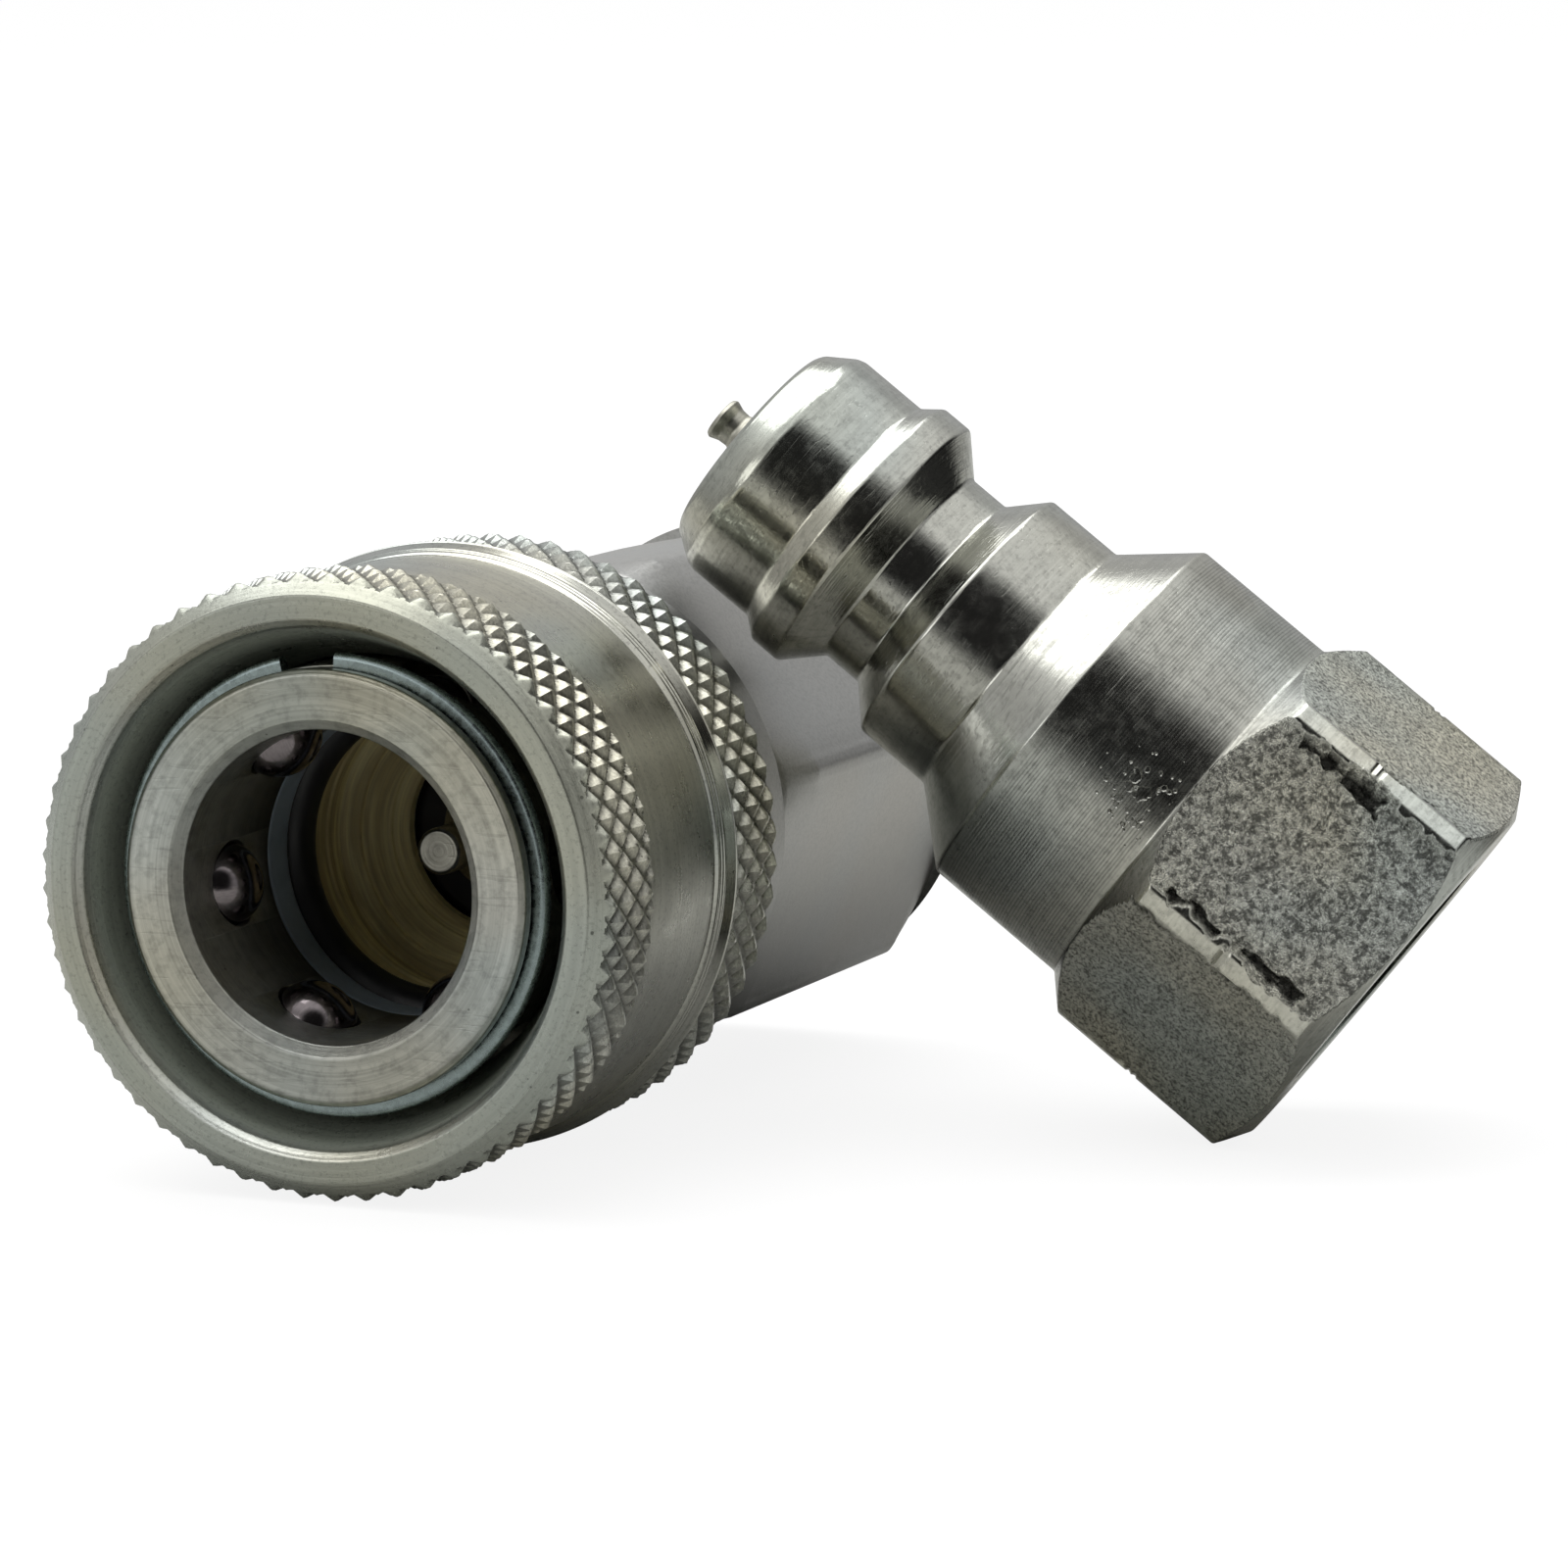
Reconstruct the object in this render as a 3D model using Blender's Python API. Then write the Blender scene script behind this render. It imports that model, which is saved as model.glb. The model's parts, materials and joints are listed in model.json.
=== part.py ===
"""A poppet-type hydraulic quick-disconnect coupler, uncoupled.

The socket lies on its knurled sleeve with its mouth towards -Y.  The nipple leans beside it, with its nose
over the socket's hexagon and one corner of its own hexagon on the floor.  Each half is modelled upright about
its own +Z axis, in millimetres, and an empty then turns it into place.  z = 0 is the front of each half.
"""

import math

import bmesh
import bpy
from mathutils import Euler, Vector

MM = 0.001

# The whole assembly, in millimetres: +Z up, and the origin on the floor under the middle of its box.
SOCKET_MOUTH = (-15.705, -25.5)
NIPPLE_NOSE = (9.079, 29.112, 32.3525)
NIPPLE_TILT = 38.59
NIPPLE_SWING = 7.98
NIPPLE_ROLL = -20.94

# Fineness of the turned surfaces.
MAIN_STEPS = 36
SMALL_STEPS = 24
HOLE_STEPS = 14
WIRE_STEPS = 12
WIRE_SIDES = 5

# Socket, in millimetres and degrees.
SLEEVE_R = 14.3
SLEEVE_WAIST_R = 13.8
SLEEVE_LENGTH = 20.3
SLEEVE_TRAVEL = 4.8
SLEEVE_LAND_R = 10.05
SLEEVE_LAND_Z = (6.1, 8.3)
SLEEVE_MOUTH_R = 12.0
SLEEVE_CHAMBER_R = 12.65
BARREL_FACE_Z = 0.65
BARREL_R = 9.92
BORE_R = 7.15
BALL_R = 2.05
BALL_Z = 5.9
BALL_CENTRE_R = 7.8
BALL_LIFT = 1.65
BALL_COUNT = 6
FIRST_BALL_ANGLE = -7.0
SEAL_GROOVE_Z = (9.7, 14.4)
SEAL_GROOVE_R = 8.9
SEAT_HOLE_R = 4.6
SEAT_Z = (20.3, 22.3)
NECK_R = 12.3
NECK_Z = (18.6, 25.5)
SOCKET_AF = 23.0
SOCKET_HEX_ROLL = 11.0
SOCKET_LENGTH = 51.0
SOCKET_PIN_Z = 13.0
PORT_R = 5.7

# Nipple, in millimetres.
TIP_R = 6.42
RIDGE_R = 7.14
LOCK_GROOVE_R = 5.43
COLLAR_R = 7.08
SHOULDER_R = 9.87
NIPPLE_AF = 20.0
NIPPLE_LENGTH = 39.4
NIPPLE_PIN_Z = -1.6

# Radial clearance round a piece that slides.
RUNNING_GAP = 0.15


def clear_scene():
    for old in list(bpy.data.objects):
        bpy.data.objects.remove(old, do_unlink=True)


def metal(name, colour, roughness):
    return surface(name, colour, roughness, 1.0)


def rubber(name, colour, roughness):
    return surface(name, colour, roughness, 0.0)


def surface(name, colour, roughness, metallic):
    """A plain Principled material."""
    material = bpy.data.materials.new(name)
    material.use_nodes = True
    shader = material.node_tree.nodes["Principled BSDF"]
    shader.inputs["Base Color"].default_value = (*colour, 1.0)
    shader.inputs["Roughness"].default_value = roughness
    shader.inputs["Metallic"].default_value = metallic
    material.diffuse_color = (*colour, 1.0)
    return material


def half_frame(name, place, turn):
    """The empty that carries one half of the coupler, in metres."""
    empty = bpy.data.objects.new(name, None)
    empty.empty_display_size = 0.01
    empty.location = Vector(place) * MM
    empty.rotation_euler = turn
    bpy.context.scene.collection.objects.link(empty)
    return empty


def finish(bm, name, material, parent, crease=35.0):
    """Turns a bmesh in millimetres into a smooth-shaded object in metres under its parent."""
    bmesh.ops.remove_doubles(bm, verts=bm.verts, dist=1e-4)
    bmesh.ops.dissolve_degenerate(bm, edges=bm.edges, dist=1e-4)
    bmesh.ops.recalc_face_normals(bm, faces=bm.faces)
    bmesh.ops.scale(bm, verts=bm.verts, vec=(MM, MM, MM))
    mesh = bpy.data.meshes.new(name)
    bm.to_mesh(mesh)
    bm.free()
    mesh.shade_smooth()
    mesh.set_sharp_from_angle(angle=math.radians(crease))
    mesh.materials.append(material)
    obj = bpy.data.objects.new(name, mesh)
    obj.parent = parent
    bpy.context.scene.collection.objects.link(obj)
    return obj


def hex_radius(angle, across_flats, roll):
    """Distance from the axis to a hexagon's side, for a hexagon with a corner at the angle roll (degrees)."""
    from_corner = (angle - math.radians(roll)) % (math.pi / 3)
    return across_flats / 2 / math.cos(from_corner - math.pi / 6)


def chamfer_foot(across_flats, roll, end_r, end_z, slope):
    """Where a hexagon's flats meet the cone that chamfers its end.

    The cone has the radius end_r at end_z and widens by slope for each millimetre of z.
    """

    def ring(angle):
        flat = hex_radius(angle, across_flats, roll)
        return flat, end_z + max(0.0, flat - end_r) / slope

    return ring


def chamfer_end(across_flats, roll, end_r, end_z):
    """The end of a chamfered hexagon: the cone's circle, cut by any flat inside it."""
    return lambda angle: (min(end_r, hex_radius(angle, across_flats, roll)), end_z)


def revolve(outline, steps, closed=True):
    """A bmesh made by turning an outline of (radius, z) points, or of functions of the angle, about Z."""
    bm = bmesh.new()
    rings = []
    for point in outline:
        ring = []
        for i in range(steps):
            angle = 2 * math.pi * i / steps
            radius, z = point(angle) if callable(point) else point
            ring.append(bm.verts.new((radius * math.cos(angle), radius * math.sin(angle), z)))
        rings.append(ring)
    pairs = list(zip(rings, rings[1:]))
    if closed:
        pairs.append((rings[-1], rings[0]))
    for low, high in pairs:
        for i in range(steps):
            j = (i + 1) % steps
            bm.faces.new((low[i], low[j], high[j], high[i]))
    return bm


def turned(name, outline, steps, material, parent):
    """A turned piece.  An outline that starts and ends on the axis closes there by itself."""
    on_axis = not callable(outline[0]) and outline[0][0] == 0.0
    return finish(revolve(outline, steps, closed=not on_axis), name, material, parent)


def torus_section(mean_r, wire_r, z, sides):
    """The round section of an O-ring."""
    turn = [2 * math.pi * i / sides for i in range(sides)]
    return [(mean_r + wire_r * math.cos(a), z + wire_r * math.sin(a)) for a in turn]


def split_ring(name, inner_r, outer_r, z_range, gap_angle, gap_width, material, parent):
    """A flat retaining ring with a gap of gap_width degrees centred on gap_angle."""
    bm = bmesh.new()
    section = [(inner_r, z_range[0]), (outer_r, z_range[0]), (outer_r, z_range[1]), (inner_r, z_range[1])]
    start = math.radians(gap_angle + gap_width / 2)
    sweep = math.radians(360 - gap_width)
    rings = []
    for i in range(MAIN_STEPS + 1):
        angle = start + sweep * i / MAIN_STEPS
        rings.append([bm.verts.new((r * math.cos(angle), r * math.sin(angle), z)) for r, z in section])
    join_sections(bm, rings)
    return finish(bm, name, material, parent)


def join_sections(bm, rings):
    """Skins a row of equal sections and caps both ends."""
    count = len(rings[0])
    for low, high in zip(rings, rings[1:]):
        for i in range(count):
            j = (i + 1) % count
            bm.faces.new((low[i], low[j], high[j], high[i]))
    bm.faces.new(rings[0])
    bm.faces.new(rings[-1])


def coil_height(turn, turns, dead_pitch, length):
    """Height along a compression spring whose first and last turns lie closed."""
    live_pitch = (length - 2 * dead_pitch) / (turns - 2)
    if turn < 1:
        return turn * dead_pitch
    if turn > turns - 1:
        return length - (turns - turn) * dead_pitch
    return dead_pitch + (turn - 1) * live_pitch


def coil_spring(name, mean_r, wire_r, z_range, turns, material, parent):
    """A round-wire compression spring between two heights."""
    bm = bmesh.new()
    length = z_range[1] - z_range[0] - 2 * wire_r
    dead_pitch = 2.3 * wire_r
    sections = []
    for i in range(int(turns * WIRE_STEPS) + 1):
        turn = i / WIRE_STEPS
        angle = 2 * math.pi * turn
        height = z_range[0] + wire_r + coil_height(turn, turns, dead_pitch, length)
        section = []
        for r, z in torus_section(mean_r, wire_r, height, WIRE_SIDES):
            section.append(bm.verts.new((r * math.cos(angle), r * math.sin(angle), z)))
        sections.append(section)
    join_sections(bm, sections)
    return finish(bm, name, material, parent)


def round_cutters(name, places, radius, depth, parent):
    """Cylinders that drill a piece: each place is a centre and an axis, in millimetres."""
    bm = bmesh.new()
    for centre, axis in places:
        turn = Vector((0, 0, 1)).rotation_difference(Vector(axis)).to_matrix().to_4x4()
        turn.translation = Vector(centre)
        bmesh.ops.create_cone(
            bm,
            cap_ends=True,
            segments=HOLE_STEPS,
            radius1=radius,
            radius2=radius,
            depth=depth,
            matrix=turn,
        )
    bmesh.ops.scale(bm, verts=bm.verts, vec=(MM, MM, MM))
    mesh = bpy.data.meshes.new(name)
    bm.to_mesh(mesh)
    bm.free()
    cutter = bpy.data.objects.new(name, mesh)
    cutter.parent = parent
    cutter.hide_render = True
    cutter.display_type = "WIRE"
    bpy.context.scene.collection.objects.link(cutter)
    return cutter


def drill(piece, cutter):
    cut = piece.modifiers.new("drilled", "BOOLEAN")
    cut.operation = "DIFFERENCE"
    cut.solver = "EXACT"
    cut.object = cutter


def on_circle(radius, z, count, first_angle):
    """Points spaced evenly on a circle about Z, each with its outward direction."""
    points = []
    for i in range(count):
        angle = math.radians(first_angle + 360.0 * i / count)
        out = (math.cos(angle), math.sin(angle), 0.0)
        points.append(((radius * out[0], radius * out[1], z), out))
    return points


# ---- Socket ----


def socket_barrel(parent, material):
    """The turned barrel: mouth, bore, seal groove and the rear-facing valve seat."""
    thread_r = 9.6
    chamber_r = 6.6
    outline = [
        (BORE_R + 0.55, BARREL_FACE_Z),
        (BARREL_R - 0.25, BARREL_FACE_Z),
        (BARREL_R, BARREL_FACE_Z + 0.25),
        (BARREL_R, 1.5),
        (9.3, 1.5),
        (9.3, 2.6),
        (BARREL_R, 2.6),
        (BARREL_R, NECK_Z[0] - 0.3),
        (thread_r, NECK_Z[0] - 0.3),
        (thread_r, 23.9),
        (8.4, 23.9),
        (8.4, 25.4),
        (thread_r, 25.4),
        (thread_r, 26.0),
        (chamber_r, 26.0),
        (chamber_r, SEAT_Z[1]),
        (SEAT_HOLE_R, SEAT_Z[0]),
        (SEAT_HOLE_R, 19.7),
        (6.9, 17.3),
        (7.1, 17.1),
        (7.1, SEAL_GROOVE_Z[1]),
        (SEAL_GROOVE_R, SEAL_GROOVE_Z[1]),
        (SEAL_GROOVE_R, SEAL_GROOVE_Z[0]),
        (BORE_R, SEAL_GROOVE_Z[0]),
        (BORE_R, BARREL_FACE_Z + 0.5),
    ]
    barrel = turned("socket_barrel", outline, MAIN_STEPS, material, parent)
    places = on_circle((BORE_R + BARREL_R) / 2, BALL_Z, BALL_COUNT, FIRST_BALL_ANGLE)
    cutter = round_cutters("ball_hole_cutter", places, BALL_R + RUNNING_GAP, 5.0, parent)
    drill(barrel, cutter)
    return barrel


def socket_adapter(parent, material):
    """The rear body: a round neck under the sleeve, a chamfered hexagon and the female port."""
    roll = -SOCKET_HEX_ROLL
    end_r = 12.1
    outline = [
        (9.9, NECK_Z[0]),
        (NECK_R, NECK_Z[0]),
        (NECK_R, NECK_Z[1]),
        chamfer_end(SOCKET_AF, roll, NECK_R, NECK_Z[1]),
        chamfer_foot(SOCKET_AF, roll, NECK_R, NECK_Z[1], 0.9),
        chamfer_foot(SOCKET_AF, roll, end_r, SOCKET_LENGTH, -0.5),
        chamfer_end(SOCKET_AF, roll, end_r, SOCKET_LENGTH),
        (PORT_R + 1.2, SOCKET_LENGTH),
        (PORT_R, SOCKET_LENGTH - 1.2),
        (PORT_R, 39.8),
        (5.2, 39.8),
        (5.2, 39.2),
        (7.6, 39.2),
        (7.6, 26.3),
        (9.9, 26.3),
    ]
    return turned("socket_adapter", outline, MAIN_STEPS, material, parent)


def locking_sleeve(parent, material):
    """The sliding sleeve: two bands for the knurl, a waist, the ball ramp and the spring chamber.

    The ramp rises by the balls' lift over the sleeve's travel, so the balls follow it at a constant ratio.
    """
    ramp_slope = BALL_LIFT / SLEEVE_TRAVEL
    ramp_top = SLEEVE_LAND_Z[0] - (SLEEVE_MOUTH_R - SLEEVE_LAND_R) / ramp_slope
    outline = [
        (SLEEVE_MOUTH_R, 0.0),
        (13.3, 0.0),
        (SLEEVE_R, 0.95),
        (SLEEVE_R, 5.4),
        (SLEEVE_WAIST_R, 5.9),
        (SLEEVE_WAIST_R, 13.25),
        (SLEEVE_R, 14.9),
        (SLEEVE_R, 19.8),
        (13.7, SLEEVE_LENGTH),
        (SLEEVE_CHAMBER_R, SLEEVE_LENGTH),
        (SLEEVE_CHAMBER_R, SLEEVE_LAND_Z[1]),
        (SLEEVE_LAND_R, SLEEVE_LAND_Z[1]),
        (SLEEVE_LAND_R, SLEEVE_LAND_Z[0]),
        (SLEEVE_MOUTH_R, ramp_top),
    ]
    return turned("locking_sleeve", outline, MAIN_STEPS, material, parent)


def ball(index, place, material, parent):
    """One locking ball, with its origin at its centre."""
    bm = bmesh.new()
    bmesh.ops.create_uvsphere(bm, u_segments=12, v_segments=8, radius=BALL_R)
    obj = finish(bm, f"ball_{index}", material, parent, crease=180.0)
    obj.location = Vector(place) * MM
    return obj


def socket_poppet(parent, material):
    """The valve poppet: a pin that the nipple's pin pushes, a head and a guided stem."""
    outline = [
        (0.0, SOCKET_PIN_Z),
        (0.95, SOCKET_PIN_Z),
        (1.1, SOCKET_PIN_Z + 0.15),
        (1.1, 19.4),
        (2.9, 19.9),
        (2.9, 20.25),
        (2.1, 20.25),
        (2.1, 22.4),
        (6.1, 22.4),
        (6.1, 23.5),
        (2.6, 24.4),
        (1.6, 24.4),
        (1.6, 37.9),
        (1.3, 38.2),
        (0.0, 38.2),
    ]
    return turned("socket_poppet", outline, SMALL_STEPS, material, parent)


def socket_poppet_seal(parent, material):
    """The ring of rubber on the poppet's head that closes on the seat."""
    outline = [(2.3, 20.45), (4.4, 20.45), (5.85, 21.9), (5.85, 22.2), (2.3, 22.2)]
    return turned("socket_poppet_seal", outline, SMALL_STEPS, material, parent)


def valve_guide(name, disc_r, bore_r, z_range, hole_r, hole_circle_r, material, parent):
    """A perforated disc that guides a poppet's stem and lets the fluid through."""
    outline = [(bore_r, z_range[0]), (disc_r, z_range[0]), (disc_r, z_range[1]), (bore_r, z_range[1])]
    guide = turned(name, outline, SMALL_STEPS, material, parent)
    middle = sum(z_range) / 2
    places = [(centre, (0.0, 0.0, 1.0)) for centre, _ in on_circle(hole_circle_r, middle, 6, 0.0)]
    drill(guide, round_cutters(name + "_cutter", places, hole_r, 5.0, parent))
    return guide


def build_socket(steel, bright, hard, black, white):
    """Every piece of the socket half."""
    place = (*SOCKET_MOUTH, SLEEVE_R)
    frame = half_frame("socket_frame", place, Euler((-math.pi / 2, 0, 0)))
    socket_barrel(frame, steel)
    socket_adapter(frame, steel)
    locking_sleeve(frame, steel)
    coil_spring("sleeve_spring", 11.3, 0.55, (8.6, 18.3), 3.5, bright, frame)
    split_ring("snap_ring", 9.45, 10.55, (1.7, 2.4), 263.5, 15.0, bright, frame)
    for index, (centre, _) in enumerate(on_circle(BALL_CENTRE_R, BALL_Z, BALL_COUNT, FIRST_BALL_ANGLE), 1):
        ball(index, centre, hard, frame)
    backup = [(7.2, 9.9), (8.7, 9.9), (8.7, 11.9), (7.2, 11.9)]
    turned("socket_backup_ring", backup, MAIN_STEPS, white, frame)
    turned("socket_o_ring", torus_section(7.6, 1.1, 13.15, 6), MAIN_STEPS, black, frame)
    turned("joint_o_ring", torus_section(9.1, 0.55, 24.65, 6), SMALL_STEPS, black, frame)
    socket_poppet(frame, bright)
    socket_poppet_seal(frame, black)
    coil_spring("socket_valve_spring", 3.6, 0.45, (24.6, 36.2), 6, bright, frame)
    valve_guide("socket_valve_guide", 7.3, 1.75, (36.4, 38.9), 1.0, 5.8, steel, frame)


# ---- Nipple ----


def nipple_body(parent, material):
    """The nipple's body: probe, ball groove, collar, shoulder, hexagon and female port, in one piece."""
    front_r = SHOULDER_R
    end_r = 9.6
    chamber_r = 4.3
    rear_r = 5.25
    outline = [
        (3.3, 0.0),
        (5.15, 0.0),
        (5.45, 0.2),
        (6.3, 1.45),
        (TIP_R, 1.85),
        (TIP_R, 5.3),
        (RIDGE_R, 6.2),
        (RIDGE_R, 7.7),
        (LOCK_GROOVE_R, 9.4),
        (LOCK_GROOVE_R, 11.4),
        (COLLAR_R, 13.0),
        (COLLAR_R, 16.9),
        (SHOULDER_R, 20.1),
        (SHOULDER_R, 27.4),
        chamfer_end(NIPPLE_AF, 0.0, front_r, 27.4),
        chamfer_foot(NIPPLE_AF, 0.0, front_r, 27.4, 1.0),
        chamfer_foot(NIPPLE_AF, 0.0, end_r, NIPPLE_LENGTH, -1.667),
        chamfer_end(NIPPLE_AF, 0.0, end_r, NIPPLE_LENGTH),
        (PORT_R + 1.2, NIPPLE_LENGTH),
        (PORT_R, NIPPLE_LENGTH - 1.2),
        (PORT_R, 27.0),
        (rear_r, 27.0),
        (rear_r, 26.3),
        (5.8, 26.3),
        (5.8, 25.3),
        (rear_r, 25.3),
        (rear_r, 22.8),
        (chamber_r, 22.8),
        (chamber_r, 2.4),
        (3.3, 1.4),
    ]
    return turned("nipple_body", outline, MAIN_STEPS, material, parent)


def nipple_poppet(parent, material):
    """The nipple's valve poppet, whose flared pin stands out of the nose."""
    outline = [
        (0.0, NIPPLE_PIN_Z),
        (1.12, NIPPLE_PIN_Z),
        (1.12, NIPPLE_PIN_Z + 0.3),
        (0.8, NIPPLE_PIN_Z + 0.8),
        (0.8, 0.2),
        (2.6, 1.2),
        (2.6, 1.6),
        (1.7, 1.6),
        (1.7, 3.2),
        (3.9, 3.2),
        (3.9, 4.1),
        (1.3, 4.5),
        (1.3, 24.2),
        (0.0, 24.4),
    ]
    return turned("nipple_poppet", outline, SMALL_STEPS, material, parent)


def nipple_poppet_seal(parent, material):
    """The rubber ring on the nipple's poppet."""
    outline = [(1.9, 1.8), (3.5, 1.8), (3.9, 2.2), (3.9, 3.0), (1.9, 3.0)]
    return turned("nipple_poppet_seal", outline, SMALL_STEPS, material, parent)


def build_nipple(steel, bright, black):
    """Every piece of the nipple half."""
    place = Vector(NIPPLE_NOSE) + Vector((*SOCKET_MOUTH, 0.0))
    lean = Euler((0.0, math.radians(90 + NIPPLE_TILT), math.radians(NIPPLE_SWING)))
    spin = Euler((0.0, 0.0, math.radians(NIPPLE_ROLL)))
    turn = (lean.to_matrix() @ spin.to_matrix()).to_euler()
    frame = half_frame("nipple_frame", place, turn)
    nipple_body(frame, steel)
    nipple_poppet(frame, bright)
    nipple_poppet_seal(frame, black)
    coil_spring("nipple_valve_spring", 2.9, 0.38, (4.8, 22.9), 7, bright, frame)
    valve_guide("nipple_valve_guide", 5.05, 1.45, (23.1, 25.0), 0.7, 4.0, steel, frame)
    split_ring("nipple_guide_clip", 4.3, 5.6, (25.5, 26.1), 0.0, 30.0, bright, frame)


def build():
    clear_scene()
    steel = metal("zinc_plated_steel", (0.62, 0.63, 0.62), 0.3)
    bright = metal("bright_steel", (0.7, 0.7, 0.68), 0.25)
    hard = metal("ball_steel", (0.66, 0.64, 0.62), 0.12)
    black = rubber("black_rubber", (0.02, 0.02, 0.022), 0.5)
    white = rubber("white_ring", (0.6, 0.62, 0.64), 0.45)
    build_socket(steel, bright, hard, black, white)
    build_nipple(steel, bright, black)


build()
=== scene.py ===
"""Looks of a poppet-type hydraulic quick-disconnect coupler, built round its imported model.

Each half is modelled upright about its own +Z axis in millimetres, with z = 0 at its front, and a matrix
then turns it into place.  A turned piece is a grid of points: one row for each point (r, z) of its outline,
and one column for each step of the angle.
"""

import itertools
import json
import math

import bmesh
import bpy
import numpy as np
from mathutils import Euler, Matrix, Vector

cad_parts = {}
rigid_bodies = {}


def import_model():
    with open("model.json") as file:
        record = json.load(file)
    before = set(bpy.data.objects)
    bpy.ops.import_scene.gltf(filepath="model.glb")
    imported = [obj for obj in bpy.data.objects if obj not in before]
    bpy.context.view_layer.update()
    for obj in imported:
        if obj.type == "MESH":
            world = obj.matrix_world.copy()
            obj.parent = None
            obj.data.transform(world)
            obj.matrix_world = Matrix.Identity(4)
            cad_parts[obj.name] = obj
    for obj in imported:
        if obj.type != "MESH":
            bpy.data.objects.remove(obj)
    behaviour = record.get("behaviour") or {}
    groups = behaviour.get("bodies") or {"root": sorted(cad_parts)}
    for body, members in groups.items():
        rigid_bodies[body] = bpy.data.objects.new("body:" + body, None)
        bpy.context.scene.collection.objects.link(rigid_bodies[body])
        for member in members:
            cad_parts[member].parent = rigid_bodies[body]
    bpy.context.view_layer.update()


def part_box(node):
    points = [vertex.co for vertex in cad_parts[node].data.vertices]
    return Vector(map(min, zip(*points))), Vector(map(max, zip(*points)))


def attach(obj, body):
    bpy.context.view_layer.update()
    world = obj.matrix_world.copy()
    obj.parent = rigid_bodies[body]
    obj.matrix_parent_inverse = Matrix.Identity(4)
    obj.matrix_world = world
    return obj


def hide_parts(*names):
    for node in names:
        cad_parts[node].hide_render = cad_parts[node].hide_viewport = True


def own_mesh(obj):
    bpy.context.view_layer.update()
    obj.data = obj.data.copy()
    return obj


for startup_object in list(bpy.data.objects):
    bpy.data.objects.remove(startup_object, do_unlink=True)

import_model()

MM = 0.001

# Steps round a large piece and a small one, round one turn of a spring and round its wire.
FINE = 256
SMALL = 96
COIL_STEPS = 48
WIRE_SIDES = 14

# The angles in degrees past which an edge of a turned piece, or of a spring or ring, is drawn sharp.
CREASE = 35.0
TUBE_CREASE = 40.0

# The socket's axis is the sleeve's, and z = 0 is the sleeve's front face.
SLEEVE_LOW, SLEEVE_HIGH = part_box("locking_sleeve")
SLEEVE_R = (SLEEVE_HIGH.x - SLEEVE_LOW.x) / 2 / MM
SOCKET_PLACE = Vector(
    ((SLEEVE_LOW.x + SLEEVE_HIGH.x) / 2, SLEEVE_LOW.y, (SLEEVE_LOW.z + SLEEVE_HIGH.z) / 2)
)
SOCKET_TURN = Euler((-math.pi / 2, 0, 0))

# The nipple's nose from the middle of the socket's mouth, on the floor, and how it leans, in millimetres
# and degrees.
NIPPLE_NOSE = (9.079, 29.112, 32.3525)
NIPPLE_TILT = 38.59
NIPPLE_SWING = 7.98
NIPPLE_ROLL = -20.94

# Knurl: teeth round the sleeve, grid columns to half a tooth, the pitch of the diamonds along the sleeve and
# their depth, the two bands, and the heights between which the outline is refined for them.
TEETH = 57
TOOTH_STEPS = 6
KNURL_PITCH = 2.0
KNURL_DEPTH = 0.46
KNURL_BANDS = ((0.1, 5.95), (14.9, 20.28))
REFINED_BANDS = ((0.05, 5.95), (14.82, 20.25))

# Balls: their size, their middle from the sleeve's front and from its axis, and the first one's angle.
BALL_R = 2.05
BALL_Z = 5.9
BALL_CENTRE_R = 7.8
BALL_COUNT = 6
FIRST_BALL_ANGLE = -7.0

# Ports: a quarter-inch parallel thread.
PORT_R = 5.7
THREAD_PITCH = 1.337
THREAD_DEPTH = 0.8

# Pitch of the turning lines on the nipple's shoulder.
TURNING_PITCH = 0.16

SOCKET = Matrix.Translation(SOCKET_PLACE) @ SOCKET_TURN.to_matrix().to_4x4()

NIPPLE_PLACE = Vector((SOCKET_PLACE.x, SOCKET_PLACE.y, 0.0)) + Vector(NIPPLE_NOSE) * MM
NIPPLE_LEAN = Euler((0.0, math.radians(90 + NIPPLE_TILT), math.radians(NIPPLE_SWING)))
NIPPLE_SPIN = Euler((0.0, 0.0, math.radians(NIPPLE_ROLL)))
NIPPLE_TURN = (NIPPLE_LEAN.to_matrix() @ NIPPLE_SPIN.to_matrix()).to_euler()
NIPPLE = Matrix.Translation(NIPPLE_PLACE) @ NIPPLE_TURN.to_matrix().to_4x4()


# ---- Shapes ----

# A corner of an outline that bends less than this isn't rounded.
SLIGHT_BEND = math.radians(12)


def lattice_noise(points, lump, seed):
    """Smooth random values from -1 to 1 at points (..., 3), with lumps of about the given size."""
    cells = 32
    table = np.random.default_rng(seed).uniform(-1, 1, (cells,) * 3)
    scaled = np.asarray(points, float) / lump
    base = np.floor(scaled).astype(int)
    part = scaled - base
    part = part * part * (3 - 2 * part)
    total = np.zeros(scaled.shape[:-1])
    for corner in itertools.product((0, 1), repeat=3):
        corner = np.array(corner)
        index = (base + corner) % cells
        weight = np.prod(np.where(corner == 1, part, 1 - part), axis=-1)
        total += weight * table[index[..., 0], index[..., 1], index[..., 2]]
    return total


def smooth_step(low, high, values):
    share = np.clip((values - low) / (high - low), 0, 1)
    return share * share * (3 - 2 * share)


def arc(centre, radius, start, end, steps):
    """Points (r, z) along an arc, with its angles in degrees from the +r direction towards +z."""
    turn = np.radians(np.linspace(start, end, steps + 1))
    return [(centre[0] + radius * math.cos(a), centre[1] + radius * math.sin(a)) for a in turn]


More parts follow.
